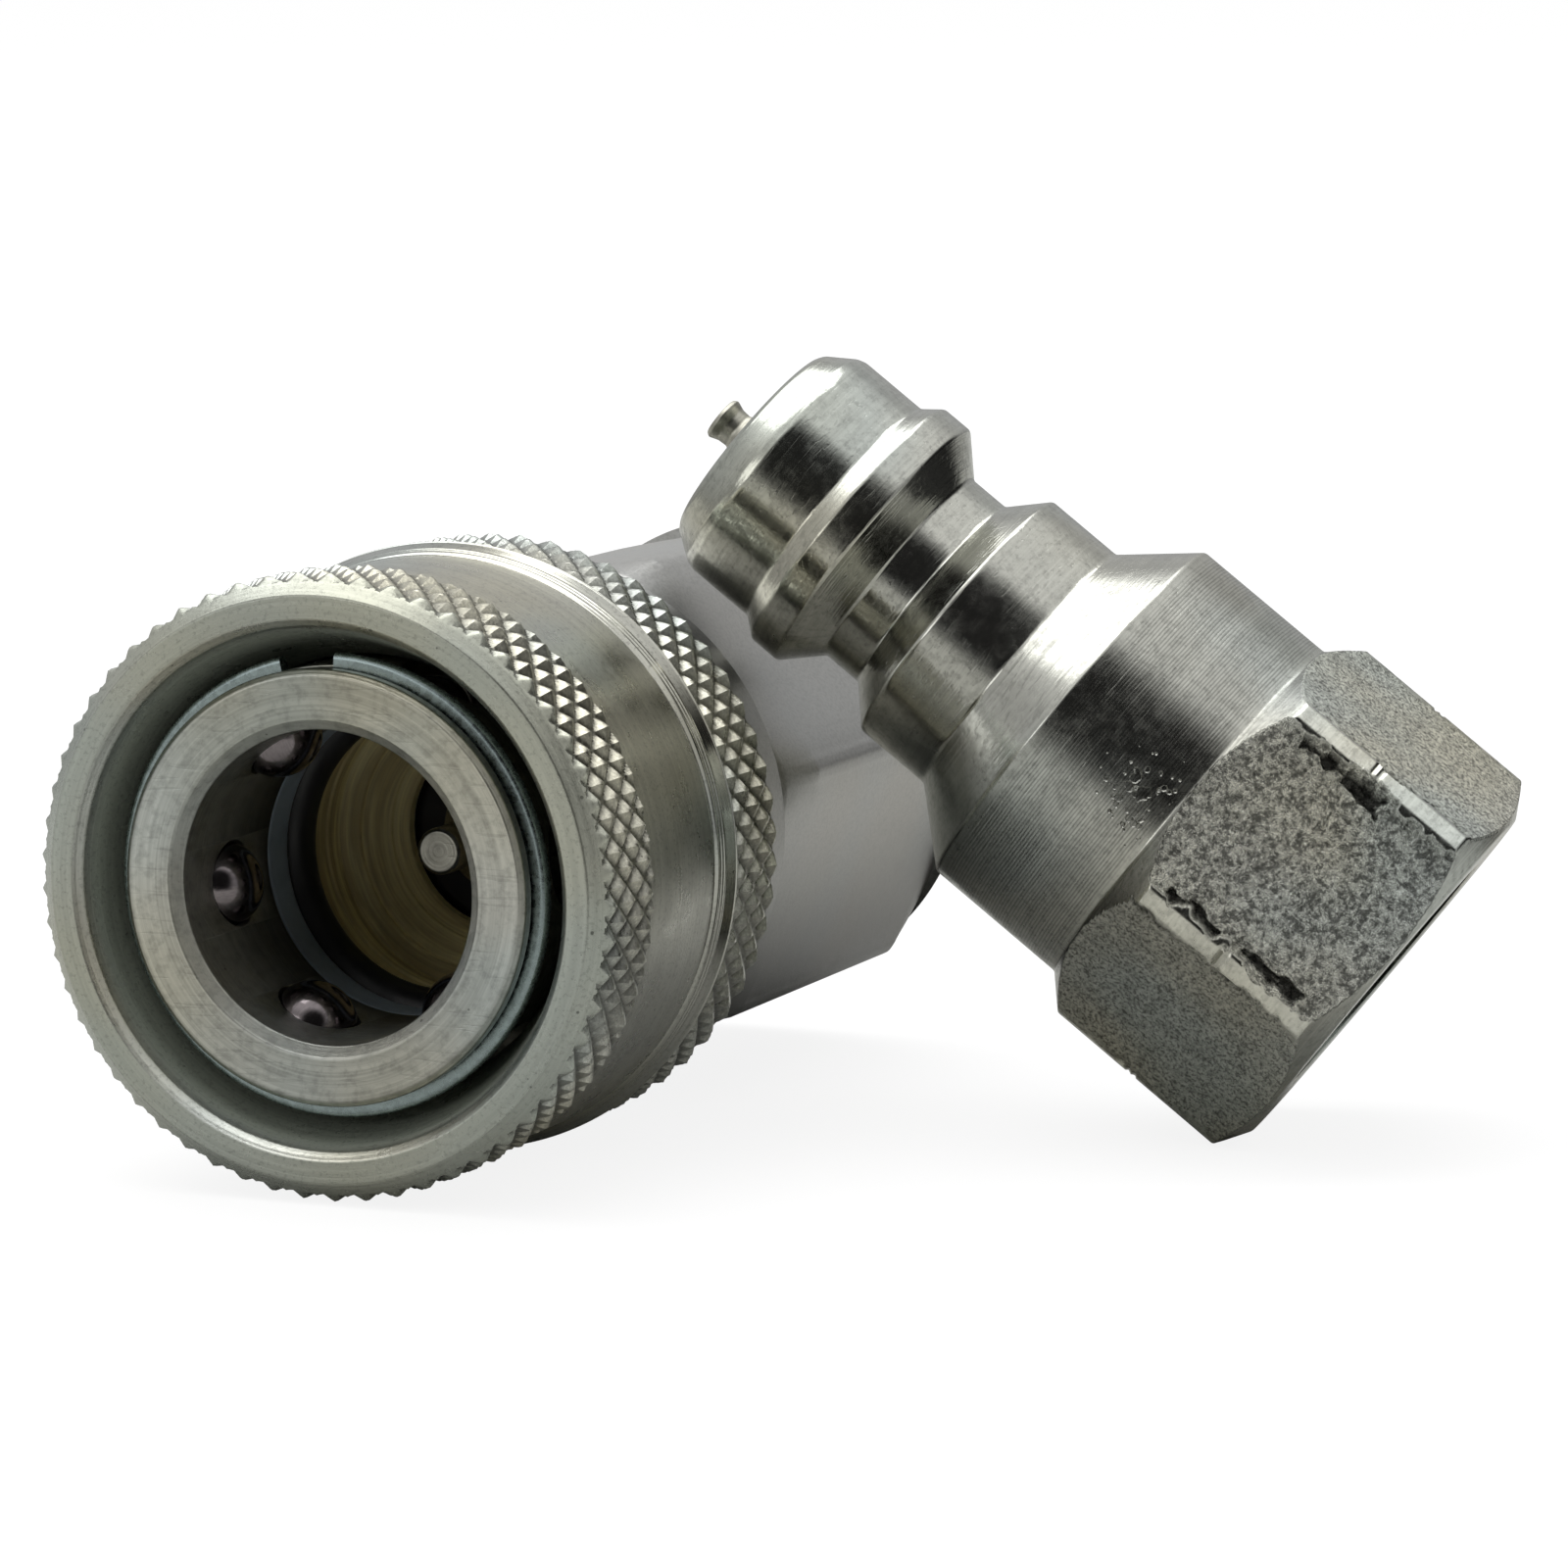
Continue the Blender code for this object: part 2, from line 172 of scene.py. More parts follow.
def softened(outline, size, closed=True):
    """The outline with each corner rounded, and a point close by on either side to keep its faces flat."""
    made = []
    count = len(outline)
    for i, here in enumerate(outline):
        here = Vector(here)
        back = Vector(outline[i - 1]) - here
        ahead = Vector(outline[(i + 1) % count]) - here
        at_end = not closed and i in (0, count - 1)
        too_short = min(back.length, ahead.length) < 1e-6
        if at_end or too_short or math.pi - back.angle(ahead) < SLIGHT_BEND:
            made.append(tuple(here))
            continue
        cut = min(size, 0.4 * back.length, 0.4 * ahead.length)
        low = here + back.normalized() * cut
        high = here + ahead.normalized() * cut
        made.append(tuple(low + back.normalized() * cut * 0.2))
        for t in np.linspace(0, 1, 4):
            made.append(tuple(low * (1 - t) ** 2 + here * 2 * t * (1 - t) + high * t**2))
        made.append(tuple(high + ahead.normalized() * cut * 0.2))
    return made


def refined(outline, pitch, z_range):
    """The outline with points added on its stretches inside a range of z, no more than pitch apart."""
    made = []
    for here, ahead in zip(outline, outline[1:] + outline[:1]):
        made.append(here)
        if z_range[0] <= (here[1] + ahead[1]) / 2 <= z_range[1]:
            parts = math.ceil(math.dist(here, ahead) / pitch)
            way = np.array(ahead) - np.array(here)
            made += [tuple(np.array(here) + way * k / parts) for k in range(1, parts)]
    return made


class Grid:
    """A turned surface: a radius and a height for each row and column, with named values for materials."""

    def __init__(self, outline, steps, closed=True):
        rows = np.array(outline, float)
        self.steps = steps
        self.closed = closed
        self.angle = np.tile(np.arange(steps) * 2 * math.pi / steps, (len(rows), 1))
        self.r = np.tile(rows[:, :1], (1, steps))
        self.z = np.tile(rows[:, 1:], (1, steps))
        along = np.concatenate([[0], np.cumsum(np.hypot(*np.diff(rows, axis=0).T))])
        self.values = {"along": np.tile(along[:, None], (1, steps))}

    def points(self):
        return np.stack([self.r * np.cos(self.angle), self.r * np.sin(self.angle), self.z], axis=-1)

    def faces(self):
        rows = len(self.r)
        low = np.arange(rows if self.closed else rows - 1)[:, None]
        left = np.arange(self.steps)
        return quads(low * self.steps, (low + 1) % rows * self.steps, left, (left + 1) % self.steps)


def quads(low, high, left, right):
    """Faces between rows of points, from the rows' first points and the columns on either side."""
    corners = np.broadcast_arrays(low + left, low + right, high + right, high + left)
    return np.stack(corners, axis=-1).reshape(-1, 4)


def new_mesh(name, points, faces, crease):
    """A smooth-shaded mesh in metres from points in millimetres and lists of the corners of its faces."""
    mesh = bpy.data.meshes.new(name)
    mesh.from_pydata((np.asarray(points).reshape(-1, 3) * MM).tolist(), [], faces)
    mesh.update()
    mesh.shade_smooth()
    mesh.set_sharp_from_angle(angle=math.radians(crease))
    return mesh


def add_values(mesh, values):
    for name, numbers in values.items():
        layer = mesh.attributes.new(name, "FLOAT", "POINT")
        layer.data.foreach_set("value", np.asarray(numbers, np.float32).ravel())


def add_vectors(mesh, name, vectors):
    layer = mesh.attributes.new(name, "FLOAT_VECTOR", "POINT")
    layer.data.foreach_set("vector", np.asarray(vectors, np.float32).ravel())


def mesh_points(mesh):
    points = np.empty(len(mesh.vertices) * 3, np.float32)
    mesh.vertices.foreach_get("co", points)
    return points.reshape(-1, 3)


def outward(mesh):
    """Turns a closed mesh's faces outward if they point in."""
    mesh.calc_loop_triangles()
    corners = np.empty(len(mesh.loop_triangles) * 3, np.int32)
    mesh.loop_triangles.foreach_get("vertices", corners)
    triangles = mesh_points(mesh)[corners.reshape(-1, 3)].astype(float)
    if np.linalg.det(triangles).sum() < 0:
        mesh.flip_normals()


def show(name, mesh, half, material, body, node):
    """Puts a mesh in place as the piece that stands for a CAD node.

    The mesh keeps two vectors for its material: each point's place by its own axis, in millimetres, and the
    direction round that axis.
    """
    outward(mesh)
    points = mesh_points(mesh)
    add_vectors(mesh, "place", points / MM)
    around = np.stack([-points[:, 1], points[:, 0], np.zeros(len(points))], axis=-1)
    around /= np.maximum(np.linalg.norm(around, axis=1, keepdims=True), 1e-9)
    add_vectors(mesh, "around", around @ np.array(half.to_3x3()).T)
    mesh.transform(half)
    mesh.materials.append(material)
    obj = bpy.data.objects.new(name, mesh)
    bpy.context.scene.collection.objects.link(obj)
    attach(obj, body)
    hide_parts(node)
    return obj


def grid_mesh(name, grid, crease=CREASE):
    return new_mesh(name, grid.points(), grid.faces().tolist(), crease)


def turned(name, grid, half, material, body, node, crease=CREASE):
    """A turned piece with the values of its grid."""
    mesh = grid_mesh(name, grid, crease)
    add_values(mesh, grid.values)
    show(name, mesh, half, material, body, node)


def capped_faces(rows, sides):
    """Faces of a tube with a fan of triangles closing each end, whose centres are the last two points."""
    low = np.arange(rows - 1)[:, None] * sides
    left = np.arange(sides)
    right = (left + 1) % sides
    last = (rows - 1) * sides
    start_fan = [[rows * sides, int(b), int(a)] for a, b in zip(left, right)]
    end_fan = [[rows * sides + 1, int(a + last), int(b + last)] for a, b in zip(left, right)]
    return quads(low, low + sides, left, right).tolist() + start_fan + end_fan


def tube_mesh(name, rings):
    rows, sides = rings.shape[:2]
    ends = np.stack([rings[0].mean(axis=0), rings[-1].mean(axis=0)])
    points = np.concatenate([rings.reshape(-1, 3), ends])
    return new_mesh(name, points, capped_faces(rows, sides), TUBE_CREASE)


def coil_mesh(name, mean_r, wire_r, z_range, turns):
    """A round-wire compression spring between two heights, whose first and last turns lie closed."""
    turn = np.linspace(0, turns, int(turns * COIL_STEPS) + 1)
    angle = 2 * math.pi * turn
    length = z_range[1] - z_range[0] - 2 * wire_r
    closed = 2.3 * wire_r
    rise = np.interp(turn, (0, 1, turns - 1, turns), (0, closed, length - closed, length))
    out = np.stack([np.cos(angle), np.sin(angle), np.zeros_like(angle)], axis=-1)
    up = np.array([0.0, 0.0, 1.0])
    centres = out * mean_r + (z_range[0] + wire_r + rise[:, None]) * up
    section = np.arange(WIRE_SIDES)[:, None] * 2 * math.pi / WIRE_SIDES
    circles = np.cos(section) * out[:, None] + np.sin(section) * up
    return tube_mesh(name, centres[:, None] + wire_r * circles)


def split_ring_mesh(name, inner_r, outer_r, z_range, gap_angle, gap_width):
    """A flat retaining ring with rounded edges and a gap."""
    low, high = z_range
    outline = [(inner_r, low), (outer_r, low), (outer_r, high), (inner_r, high)]
    section = np.array(softened(outline, 0.25))
    sweep = np.radians(np.linspace(gap_angle + gap_width / 2, gap_angle + 360 - gap_width / 2, FINE))
    x = section[None, :, 0] * np.cos(sweep)[:, None]
    y = section[None, :, 0] * np.sin(sweep)[:, None]
    z = np.tile(section[None, :, 1], (len(sweep), 1))
    return tube_mesh(name, np.stack([x, y, z], axis=-1))


def thread(grid, z_range):
    """Cuts an inside thread into the rows of a port between two heights."""
    turn = grid.z / THREAD_PITCH - grid.angle / (2 * math.pi)
    wave = np.abs((turn % 1) * 2 - 1)
    groove = np.clip((wave - 0.12) / 0.76, 0, 1)
    fade = smooth_step(z_range[0], z_range[0] + 1.2, grid.z)
    inside = (grid.z >= z_range[0]) & (grid.z <= z_range[1]) & (np.abs(grid.r - PORT_R) < 1.3)
    grid.r = np.where(inside, grid.r + THREAD_DEPTH * groove * fade, grid.r)


def forge(grid, z_range, across_flats, roll, relief, seed, soft, coarse=-1, notches=(), pockets=()):
    """Forges a hexagon into a turned blank: rough flats, with strips of the blank left at its corners.

    relief is how rough the flats are, from 0 to 1, soft how gently they blend into the blank, coarse the
    number of the flat with the roughest relief, notches the heights of the fine grooves across each strip,
    and pockets the gouges beside the strips of the coarse flat: a corner, two heights and two distances.
    """
    low, high = z_range
    apothem = across_flats / 2
    side = math.pi / 3
    angle = grid.angle - math.radians(roll)
    turn = angle % (2 * math.pi)
    sector = turn % side
    coarse = (np.floor(turn / side) == coarse).astype(float)
    flat_r = apothem / np.cos(sector - side / 2)
    from_corner = flat_r * np.sin(np.minimum(sector, side - sector))
    place = np.stack([flat_r * np.cos(grid.angle), flat_r * np.sin(grid.angle), grid.z], axis=-1)

    def noise(lump, index, stretch=1):
        return lattice_noise(place * stretch, lump, seed + index)

    jag = 0.3 * noise(1.1, 0) + 0.2 * noise(0.4, 1)
    edge = from_corner - (0.6 + jag * relief)
    forged = smooth_step(0.0, 0.1, edge) * smooth_step(low, low + 0.1, grid.z)
    lumps = 0.55 * noise(0.28, 2) + 0.45 * noise(0.7, 3)
    torn = smooth_step(0.35, 0.65, noise(1.5, 4, (1, 1, 0.6)))
    gouge_and_shade = torn * (1 - smooth_step(0.0, 0.5, edge)) * forged * (1 - coarse) * relief
    for corner, heights, reach in pockets:
        nearest = np.round(angle / side) % 6 == corner
        across = np.minimum(from_corner - reach[0], reach[1] - from_corner) + 0.3 * noise(0.55, 7)
        along = np.minimum(grid.z - heights[0], heights[1] - grid.z) + 0.35 * noise(0.5, 8)
        depth = smooth_step(0.0, 0.16, np.minimum(across, along)) * coarse * forged
        gouge_and_shade = np.maximum(gouge_and_shade, np.where(nearest, depth, 0.0))
    rough = (0.02 + 0.075 * coarse) * relief
    sink = forged * (0.05 + 0.03 * relief + rough * (1 + lumps)) + 0.28 * gouge_and_shade
    hex_r = flat_r - sink
    for notch_z in notches:
        notch = np.clip(1 - np.abs(grid.z - notch_z) / 0.14, 0, 1)
        hex_r = np.minimum(hex_r, grid.r - 0.16 * notch * (1 - forged))
    inside = (grid.z > low) & (grid.z < high) & (grid.r > apothem - 1.2)
    cut = inside & (hex_r < grid.r)
    # The hexagon's front cone is drawn darker through the same value, by half the relief.
    front_cone = np.where(inside, 1 - smooth_step(low + 0.9, low + 1.5, grid.z), 0.0)
    grid.values["forged"] = np.where(cut, forged, 0.0)
    grid.values["gouge_and_shade"] = np.where(cut, gouge_and_shade, 0.5 * relief * front_cone)
    grid.values["coarse"] = coarse
    grid.values["strip"] = np.where(inside & ~cut & (grid.r > apothem + 1.2), 1.0, 0.0)
    gap = np.abs(grid.r - hex_r) / soft
    blended = np.minimum(grid.r, hex_r) - soft * np.log1p(np.exp(-gap))
    grid.r = np.where(inside, blended, grid.r)


# ---- Materials ----


class Nodes:
    """Short ways to add nodes to a node tree."""

    def __init__(self, tree):
        self.tree = tree

    def node(self, kind, inputs=None, **settings):
        made = self.tree.nodes.new("ShaderNode" + kind)
        for key, value in settings.items():
            setattr(made, key, value)
        for key, value in (inputs or {}).items():
            self.feed(made.inputs[key], value)
        return made

    def feed(self, socket, value):
        if isinstance(value, bpy.types.NodeSocket):
            self.tree.links.new(value, socket)
        else:
            socket.default_value = value

    def maths(self, operation, a, b=0.0):
        return self.node("Math", {0: a, 1: b}, operation=operation).outputs[0]

    def times(self, first, *factors):
        for factor in factors:
            first = self.maths("MULTIPLY", first, factor)
        return first

    def less(self, amount, share=1.0):
        """1 less a share of the amount."""
        return self.maths("SUBTRACT", 1.0, self.times(amount, share))

    def vector_maths(self, operation, a, b=(0.0, 0.0, 0.0)):
        return self.node("VectorMath", {0: a, 1: b}, operation=operation).outputs

    def towards(self, direction, aim):
        """The cosine of the angle between two directions."""
        return self.vector_maths("DOT_PRODUCT", direction, aim)["Value"]

    def ramp(self, factor, low, high, low_to=0.0, high_to=1.0):
        """The factor stretched from low..high to low_to..high_to, with smooth ends."""
        inputs = {"Value": factor, "From Min": low, "From Max": high, "To Min": low_to, "To Max": high_to}
        return self.node("MapRange", inputs, interpolation_type="SMOOTHSTEP").outputs["Result"]

    def mix(self, factor, a, b):
        made = self.node("Mix", data_type="RGBA")
        self.feed(made.inputs[0], factor)
        for socket, value in ((made.inputs[6], a), (made.inputs[7], b)):
            self.feed(socket, value if isinstance(value, bpy.types.NodeSocket) else (*value, 1.0))
        return made.outputs[2]

    def blend(self, factor, a, b):
        """One number or the other, by the factor."""
        return self.node("Mix", {0: factor, 2: a, 3: b}, data_type="FLOAT").outputs[0]


class Material(Nodes):
    """A Principled material on a piece whose points keep their places by its own axis."""

    def __init__(self, name, **constants):
        self.material = bpy.data.materials.new(name)
        self.material.use_nodes = True
        super().__init__(self.material.node_tree)
        self.surface = self.tree.nodes["Principled BSDF"]
        for socket, value in constants.items():
            self.surface.inputs[socket.replace("_", " ")].default_value = value
        self.place = self.node("Attribute", attribute_name="place").outputs["Vector"]
        self.height = None

    def value(self, name):
        return self.node("Attribute", attribute_name=name).outputs["Fac"]

    def scaled(self, vector, factors):
        return self.vector_maths("MULTIPLY", vector, factors)[0]

    def noise(self, scale, detail=2.0, rough=0.5, vector=None):
        """Noise over the piece, scale lumps to the millimetre."""
        vector = self.place if vector is None else vector
        inputs = {"Vector": vector, "Scale": scale, "Detail": detail, "Roughness": rough}
        return self.node("TexNoise", inputs).outputs["Fac"]

    def lines(self, stretch, pitch, detail=2.0, rough=0.6):
        """Noise that runs in long lines round the axis, pitch lines to the millimetre."""
        around = self.scaled(self.place, (stretch, stretch, 0.0))
        lift = self.node("CombineXYZ", {"Z": self.times(self.value("along"), pitch)}).outputs[0]
        return self.noise(1.0, detail, rough, self.vector_maths("ADD", around, lift)[0])

    def cells(self, scale, vector=None):
        """The distance from the nearest of many scattered points, scale of them to the millimetre."""
        vector = self.place if vector is None else vector
        return self.node("TexVoronoi", {"Vector": vector, "Scale": scale}).outputs["Distance"]

    def pits(self, scale, size):
        """Small round pits, here and there, as 1 inside a pit."""
        pit_size = self.ramp(self.noise(0.7 * scale, 1.0), 0.45, 0.75, 0.0, size)
        return self.maths("LESS_THAN", self.cells(scale), pit_size)

    def scratches(self, *slants):
        """Fine straight scratches at two slants, each a turn and a scale, as 1 on a scratch."""
        marks = []
        for turn, scale in slants:
            inputs = {"Vector": self.place, "Angle": turn}
            slanted = self.node("VectorRotate", inputs, rotation_type="X_AXIS")
            stretched = self.scaled(slanted.outputs[0], (0.35, 5.0, 5.0))
            marks.append(self.ramp(self.noise(scale, 1.0, 0.4, stretched), 0.66, 0.7))
        return self.maths("MAXIMUM", *marks)

    def tinted(self, base, cool, warm):
        """Plating whose tint drifts a little between a cool and a warm one over the piece."""
        drift = self.noise(0.06, 1.0)
        colour = self.mix(self.ramp(drift, 0.4, 0.65, 0.0, 0.65), base, warm)
        other = self.noise(0.09, 1.0, vector=self.scaled(self.place, (-1.0, 1.0, 1.0)))
        return self.mix(self.ramp(other, 0.45, 0.65, 0.0, 0.5), colour, cool)

    def darkened(self, colour, amount):
        """The colour times one number."""
        return self.scaled(colour, self.node("CombineXYZ", {axis: amount for axis in "XYZ"}).outputs[0])

    def dull(self, amount, share):
        """Makes the surface less of a metal where the amount is 1, as dirt and oxide do."""
        self.feed(self.surface.inputs["Metallic"], self.less(amount, share))

    def bump(self, height, strength, distance):
        """Adds a bump of that depth, in millimetres, on top of those added before."""
        inputs = {"Height": height, "Strength": strength, "Distance": distance * MM}
        if self.height is not None:
            inputs["Normal"] = self.height
        self.height = self.node("Bump", inputs).outputs["Normal"]

    def around_axis(self):
        """Makes the shader's anisotropy run round the axis, as turning leaves it."""
        around = self.node("Attribute", attribute_name="around").outputs["Vector"]
        settings = {"vector_type": "VECTOR", "convert_from": "OBJECT", "convert_to": "WORLD"}
        tangent = self.node("VectorTransform", {"Vector": around}, **settings).outputs[0]
        self.feed(self.surface.inputs["Tangent"], tangent)

    def done(self, colour, roughness):
        self.feed(self.surface.inputs["Base Color"], colour)
        self.feed(self.surface.inputs["Roughness"], roughness)
        self.feed(self.surface.inputs["Normal"], self.height)
        return self.material


def turned_steel(name, tints, rough, relief, line_pitch, specks):
    """Zinc-plated turned steel: fine lines round the axis, small dark pits, scratches and smudges.

    Where the piece's value "warm" is 1 the plating is missing and the steel is golden brown, and where its
    value for the bore is 1 the colour is painted dark and the metal dull: painted shade down the bore.
    """
    mat = Material(name, Metallic=1.0, Anisotropic=0.5)
    bare, painted_bore_shade = mat.value("warm"), mat.value("painted_bore_shade")
    fine = mat.lines(0.05, line_pitch)
    broad = mat.lines(0.08, line_pitch / 5, 3.0)
    patina = mat.noise(1.6, 5.0, 0.65)
    smudge = mat.noise(0.45, 4.0, 0.6)
    pit = mat.pits(1.2, 0.11)
    mark = mat.scratches((0.6, 1.1), (-1.1, 0.9))

    gold = mat.mix(mat.ramp(broad, 0.42, 0.6), DARK_GOLD, GOLD)
    colour = mat.mix(bare, mat.tinted(*tints), gold)
    dark = mat.times(
        mat.ramp(fine, 0.3, 0.7, 0.78, 1.0),
        mat.ramp(broad, 0.3, 0.7, 0.84, 1.0),
        mat.ramp(patina, 0.34, 0.56, 0.78, 1.0),
        mat.less(pit, specks),
        mat.less(mark, 0.25 * specks),
        # Down the bore the colour goes almost to black: painted shade.
        mat.less(painted_bore_shade, 0.95),
    )
    dark = mat.blend(bare, dark, mat.ramp(fine, 0.3, 0.7, 0.85, 1.0))
    mat.dull(mat.maths("MAXIMUM", bare, painted_bore_shade), 0.7)
    roughness = mat.ramp(smudge, 0.3, 0.75, rough * 0.85, rough * 1.3)
    roughness = mat.maths("ADD", roughness, mat.ramp(fine, 0.3, 0.7, 0.05, 0.0))
    roughness = mat.maths("ADD", roughness, mat.times(bare, 0.1))
    mat.bump(fine, relief, 0.02)
    mat.bump(broad, relief, 0.03)
    mat.bump(mat.less(mark), 0.4 * specks, 0.02)
    mat.bump(mat.less(pit), 0.5 * specks, 0.03)
    mat.around_axis()
    return mat.done(mat.darkened(colour, dark), roughness)


def knurled_steel(name, tints, rough):
    """The sleeve: turned lines where it is smooth, and grainy plating on the knurl, with painted shade
    in its grooves.

    Where its value for the recess is 1 the plating is a dull grey-green; the same value at 0.45 dulls and
    darkens the front face, its chamfer and the knurl's first millimetre: painted shade.  Where "polish" is 1
    it shines.
    """
    mat = Material(name, Metallic=1.0, Anisotropic=0.35)
    band, recess_and_face_shade, polish = mat.value("knurl"), mat.value("recess_and_face_shade"), mat.value("polish")
    fine = mat.lines(0.05, 6.5)
    broad = mat.lines(0.08, 1.2, 3.0)
    grain = mat.noise(7.0, 3.0, 0.65)
    specks = mat.noise(4.5, 3.0, 0.7)
    smudge = mat.noise(0.5, 4.0, 0.6)

    colour = mat.mix(recess_and_face_shade, mat.tinted(*tints), RECESS)
    mat.dull(recess_and_face_shade, 0.7)
    lines = mat.times(
        mat.ramp(fine, 0.3, 0.7, 0.86, 1.0),
        mat.ramp(broad, 0.3, 0.7, 0.9, 1.0),
        mat.ramp(specks, 0.36, 0.47, 0.78, 1.0),
    )
    # The knurl's grooves are painted up to half darker by their depth: painted shade.
    groove = mat.times(band, mat.ramp(mat.value("cavity"), 0.5, 1.0, 0.0, 0.5))
    dark = mat.blend(band, lines, mat.ramp(grain, 0.35, 0.7, 0.8, 1.2))
    dark = mat.times(dark, mat.less(groove), mat.less(mat.pits(1.3, 0.12), 0.6))
    satin = mat.ramp(smudge, 0.3, 0.75, rough * 0.85, rough * 1.3)
    bright = mat.ramp(smudge, 0.3, 0.75, 0.08, 0.16)
    mat.bump(fine, 0.45, 0.02)
    mat.bump(mat.times(broad, recess_and_face_shade), 0.8, 0.06)
    mat.bump(mat.times(grain, mat.less(polish)), 0.4, 0.03)
    mat.around_axis()
    return mat.done(mat.darkened(colour, dark), mat.blend(polish, satin, bright))


def forged_steel(name, tints, rough, relief=1.0):
    """A turned body with a forged hexagon: a lined shoulder, a worn polish in front and grainy flats.

    Its values say where it is forged, where the forging is coarse, where it is gouged (and, on the rear
    body,
    where its underside is painted darker: painted shade), polished, cut with regular turning lines, scuffed,
    or a strip of the turned blank.
    """
    mat = Material(name, Metallic=1.0, Anisotropic=0.3)
    values = ("forged", "coarse", "gouge_and_shade", "polish", "lined", "scuff", "strip")
    forged, coarse, gouge_and_shade, polish, lined, scuff, strip = [mat.value(value) for value in values]
    fine = mat.lines(0.04, 7.0, 1.5, 0.55)
    broad = mat.lines(0.06, 1.1, 3.0)
    patina = mat.noise(2.2, 6.0, 0.7)
    stain = mat.noise(0.5, 4.0, 0.6)
    crumbs = mat.noise(5.5, 5.0, 0.8)
    blotches = mat.noise(1.3, 5.0, 0.75)
    mark = mat.scratches((0.9, 1.0), (-0.5, 0.8))

    # Lines cut at a regular pitch, a little wavy.
    cut_angle = mat.times(mat.value("along"), 2 * math.pi / TURNING_PITCH)
    waver = mat.times(mat.noise(0.5, 1.0), 2.5)
    cut_line = mat.ramp(mat.maths("SINE", mat.maths("ADD", cut_angle, waver)), -1.0, 1.0)

    # Uneven pebbles and chips on the coarse flat.
    warp = mat.node("TexNoise", {"Vector": mat.place, "Scale": 2.0, "Detail": 2.0}).outputs["Color"]
    warped = mat.vector_maths("ADD", mat.place, mat.scaled(warp, (0.5, 0.5, 0.5)))[0]
    chips = mat.ramp(mat.noise(3.2, 7.0, 0.8), 0.3, 0.7)
    grain = mat.maths("ADD", mat.times(mat.cells(5.2, warped), 0.35), chips)

    # Dents where the shoulder is scuffed.
    dent_size = mat.times(scuff, mat.ramp(mat.noise(1.4, 2.0), 0.4, 0.6, 0.2, 0.85))
    dent = mat.ramp(mat.maths("SUBTRACT", dent_size, mat.cells(2.6)), 0.0, 0.16)

    smooth = mat.times(
        mat.ramp(fine, 0.3, 0.7, 0.88, 1.0),
        mat.ramp(broad, 0.3, 0.7, 0.88, 1.0),
        mat.ramp(patina, 0.34, 0.56, 0.8, 1.0),
        mat.blend(lined, 1.0, mat.ramp(cut_line, 0.0, 0.6, 0.62, 1.0)),
        mat.less(dent, 0.3),
        mat.less(mark, 0.15),
        mat.maths("ADD", 1.0, mat.times(strip, 0.3 * relief)),
    )
    fine_grains = mat.times(
        mat.ramp(crumbs, 0.4, 0.56, 1.0 - 0.72 * relief, 1.12),
        mat.ramp(blotches, 0.36, 0.56, 1.0 - 0.25 * relief, 1.0),
    )
    grains = mat.blend(coarse, fine_grains, mat.ramp(grain, 0.5, 1.0, 1.5, 0.34))
    # The gouge value darkens the colour: real gouges, and painted shade on the rear body's underside.
    dark = mat.times(mat.blend(forged, smooth, grains), mat.less(gouge_and_shade, 0.88))

    satin = mat.ramp(stain, 0.3, 0.75, rough * 0.85, rough * 1.25)
    shine = mat.blend(polish, satin, mat.ramp(stain, 0.4, 0.72, 0.1, 0.2))
    shine = mat.maths("ADD", shine, mat.ramp(patina, 0.35, 0.6, 0.1, 0.0))
    fine_rough = mat.ramp(crumbs, 0.3, 0.7, 0.32, 0.46)
    grainy = mat.blend(coarse, fine_rough, mat.ramp(crumbs, 0.3, 0.7, 0.14, 0.3))

    unforged = mat.less(forged)
    mat.bump(mat.times(fine, unforged), 0.35, 0.02)
    mat.bump(mat.times(cut_line, lined), 0.5, 0.006)
    mat.bump(mat.times(patina, unforged), 0.25, 0.02)
    mat.bump(mat.less(dent), 1.0, 0.09)
    mat.bump(mat.less(mark), 0.15, 0.02)
    mat.bump(mat.times(mat.less(grain), forged, coarse), 1.0, 0.3)
    mat.bump(mat.times(crumbs, forged), relief, 0.11)
    mat.around_axis()
    colour = mat.darkened(mat.tinted(*tints), dark)
    return mat.done(colour, mat.blend(forged, shine, grainy))


def shade(colour, factor):
    return tuple(factor * c for c in colour)


def rubber(name, colour):
    """Moulded nitrile rubber with faint mould grain and a trace of oil."""
    mat = Material(name, Metallic=0.0, Specular_IOR_Level=0.4)
    patch = mat.noise(0.6, 2.0)
    mat.bump(mat.noise(8.0, 3.0, 0.6), 0.25, 0.02)
    tone = mat.mix(mat.ramp(patch, 0.3, 0.7), colour, shade(colour, 1.6))
    return mat.done(tone, mat.ramp(patch, 0.3, 0.7, 0.32, 0.5))


def ptfe(name, colour):
    """Machined PTFE, slightly waxy, with faint turning lines."""
    mat = Material(name, Metallic=0.0, Subsurface_Weight=0.05)
    patch = mat.noise(0.5, 3.0)
    mat.bump(mat.lines(0.05, 5.0, rough=0.5), 0.3, 0.02)
    tone = mat.mix(mat.ramp(patch, 0.35, 0.7), colour, shade(colour, 0.82))
    return mat.done(tone, mat.ramp(patch, 0.3, 0.7, 0.35, 0.5))


def wire_steel(name, colour):
    """Drawn spring wire: dark drawing marks over a dull shine."""
    mat = Material(name, Metallic=1.0)
    marks = mat.noise(3.0, 4.0, 0.65)
    mat.bump(marks, 0.25, 0.02)
    tone = mat.mix(mat.ramp(marks, 0.35, 0.7), shade(colour, 0.7), colour)
    return mat.done(tone, mat.ramp(marks, 0.3, 0.7, 0.2, 0.36))


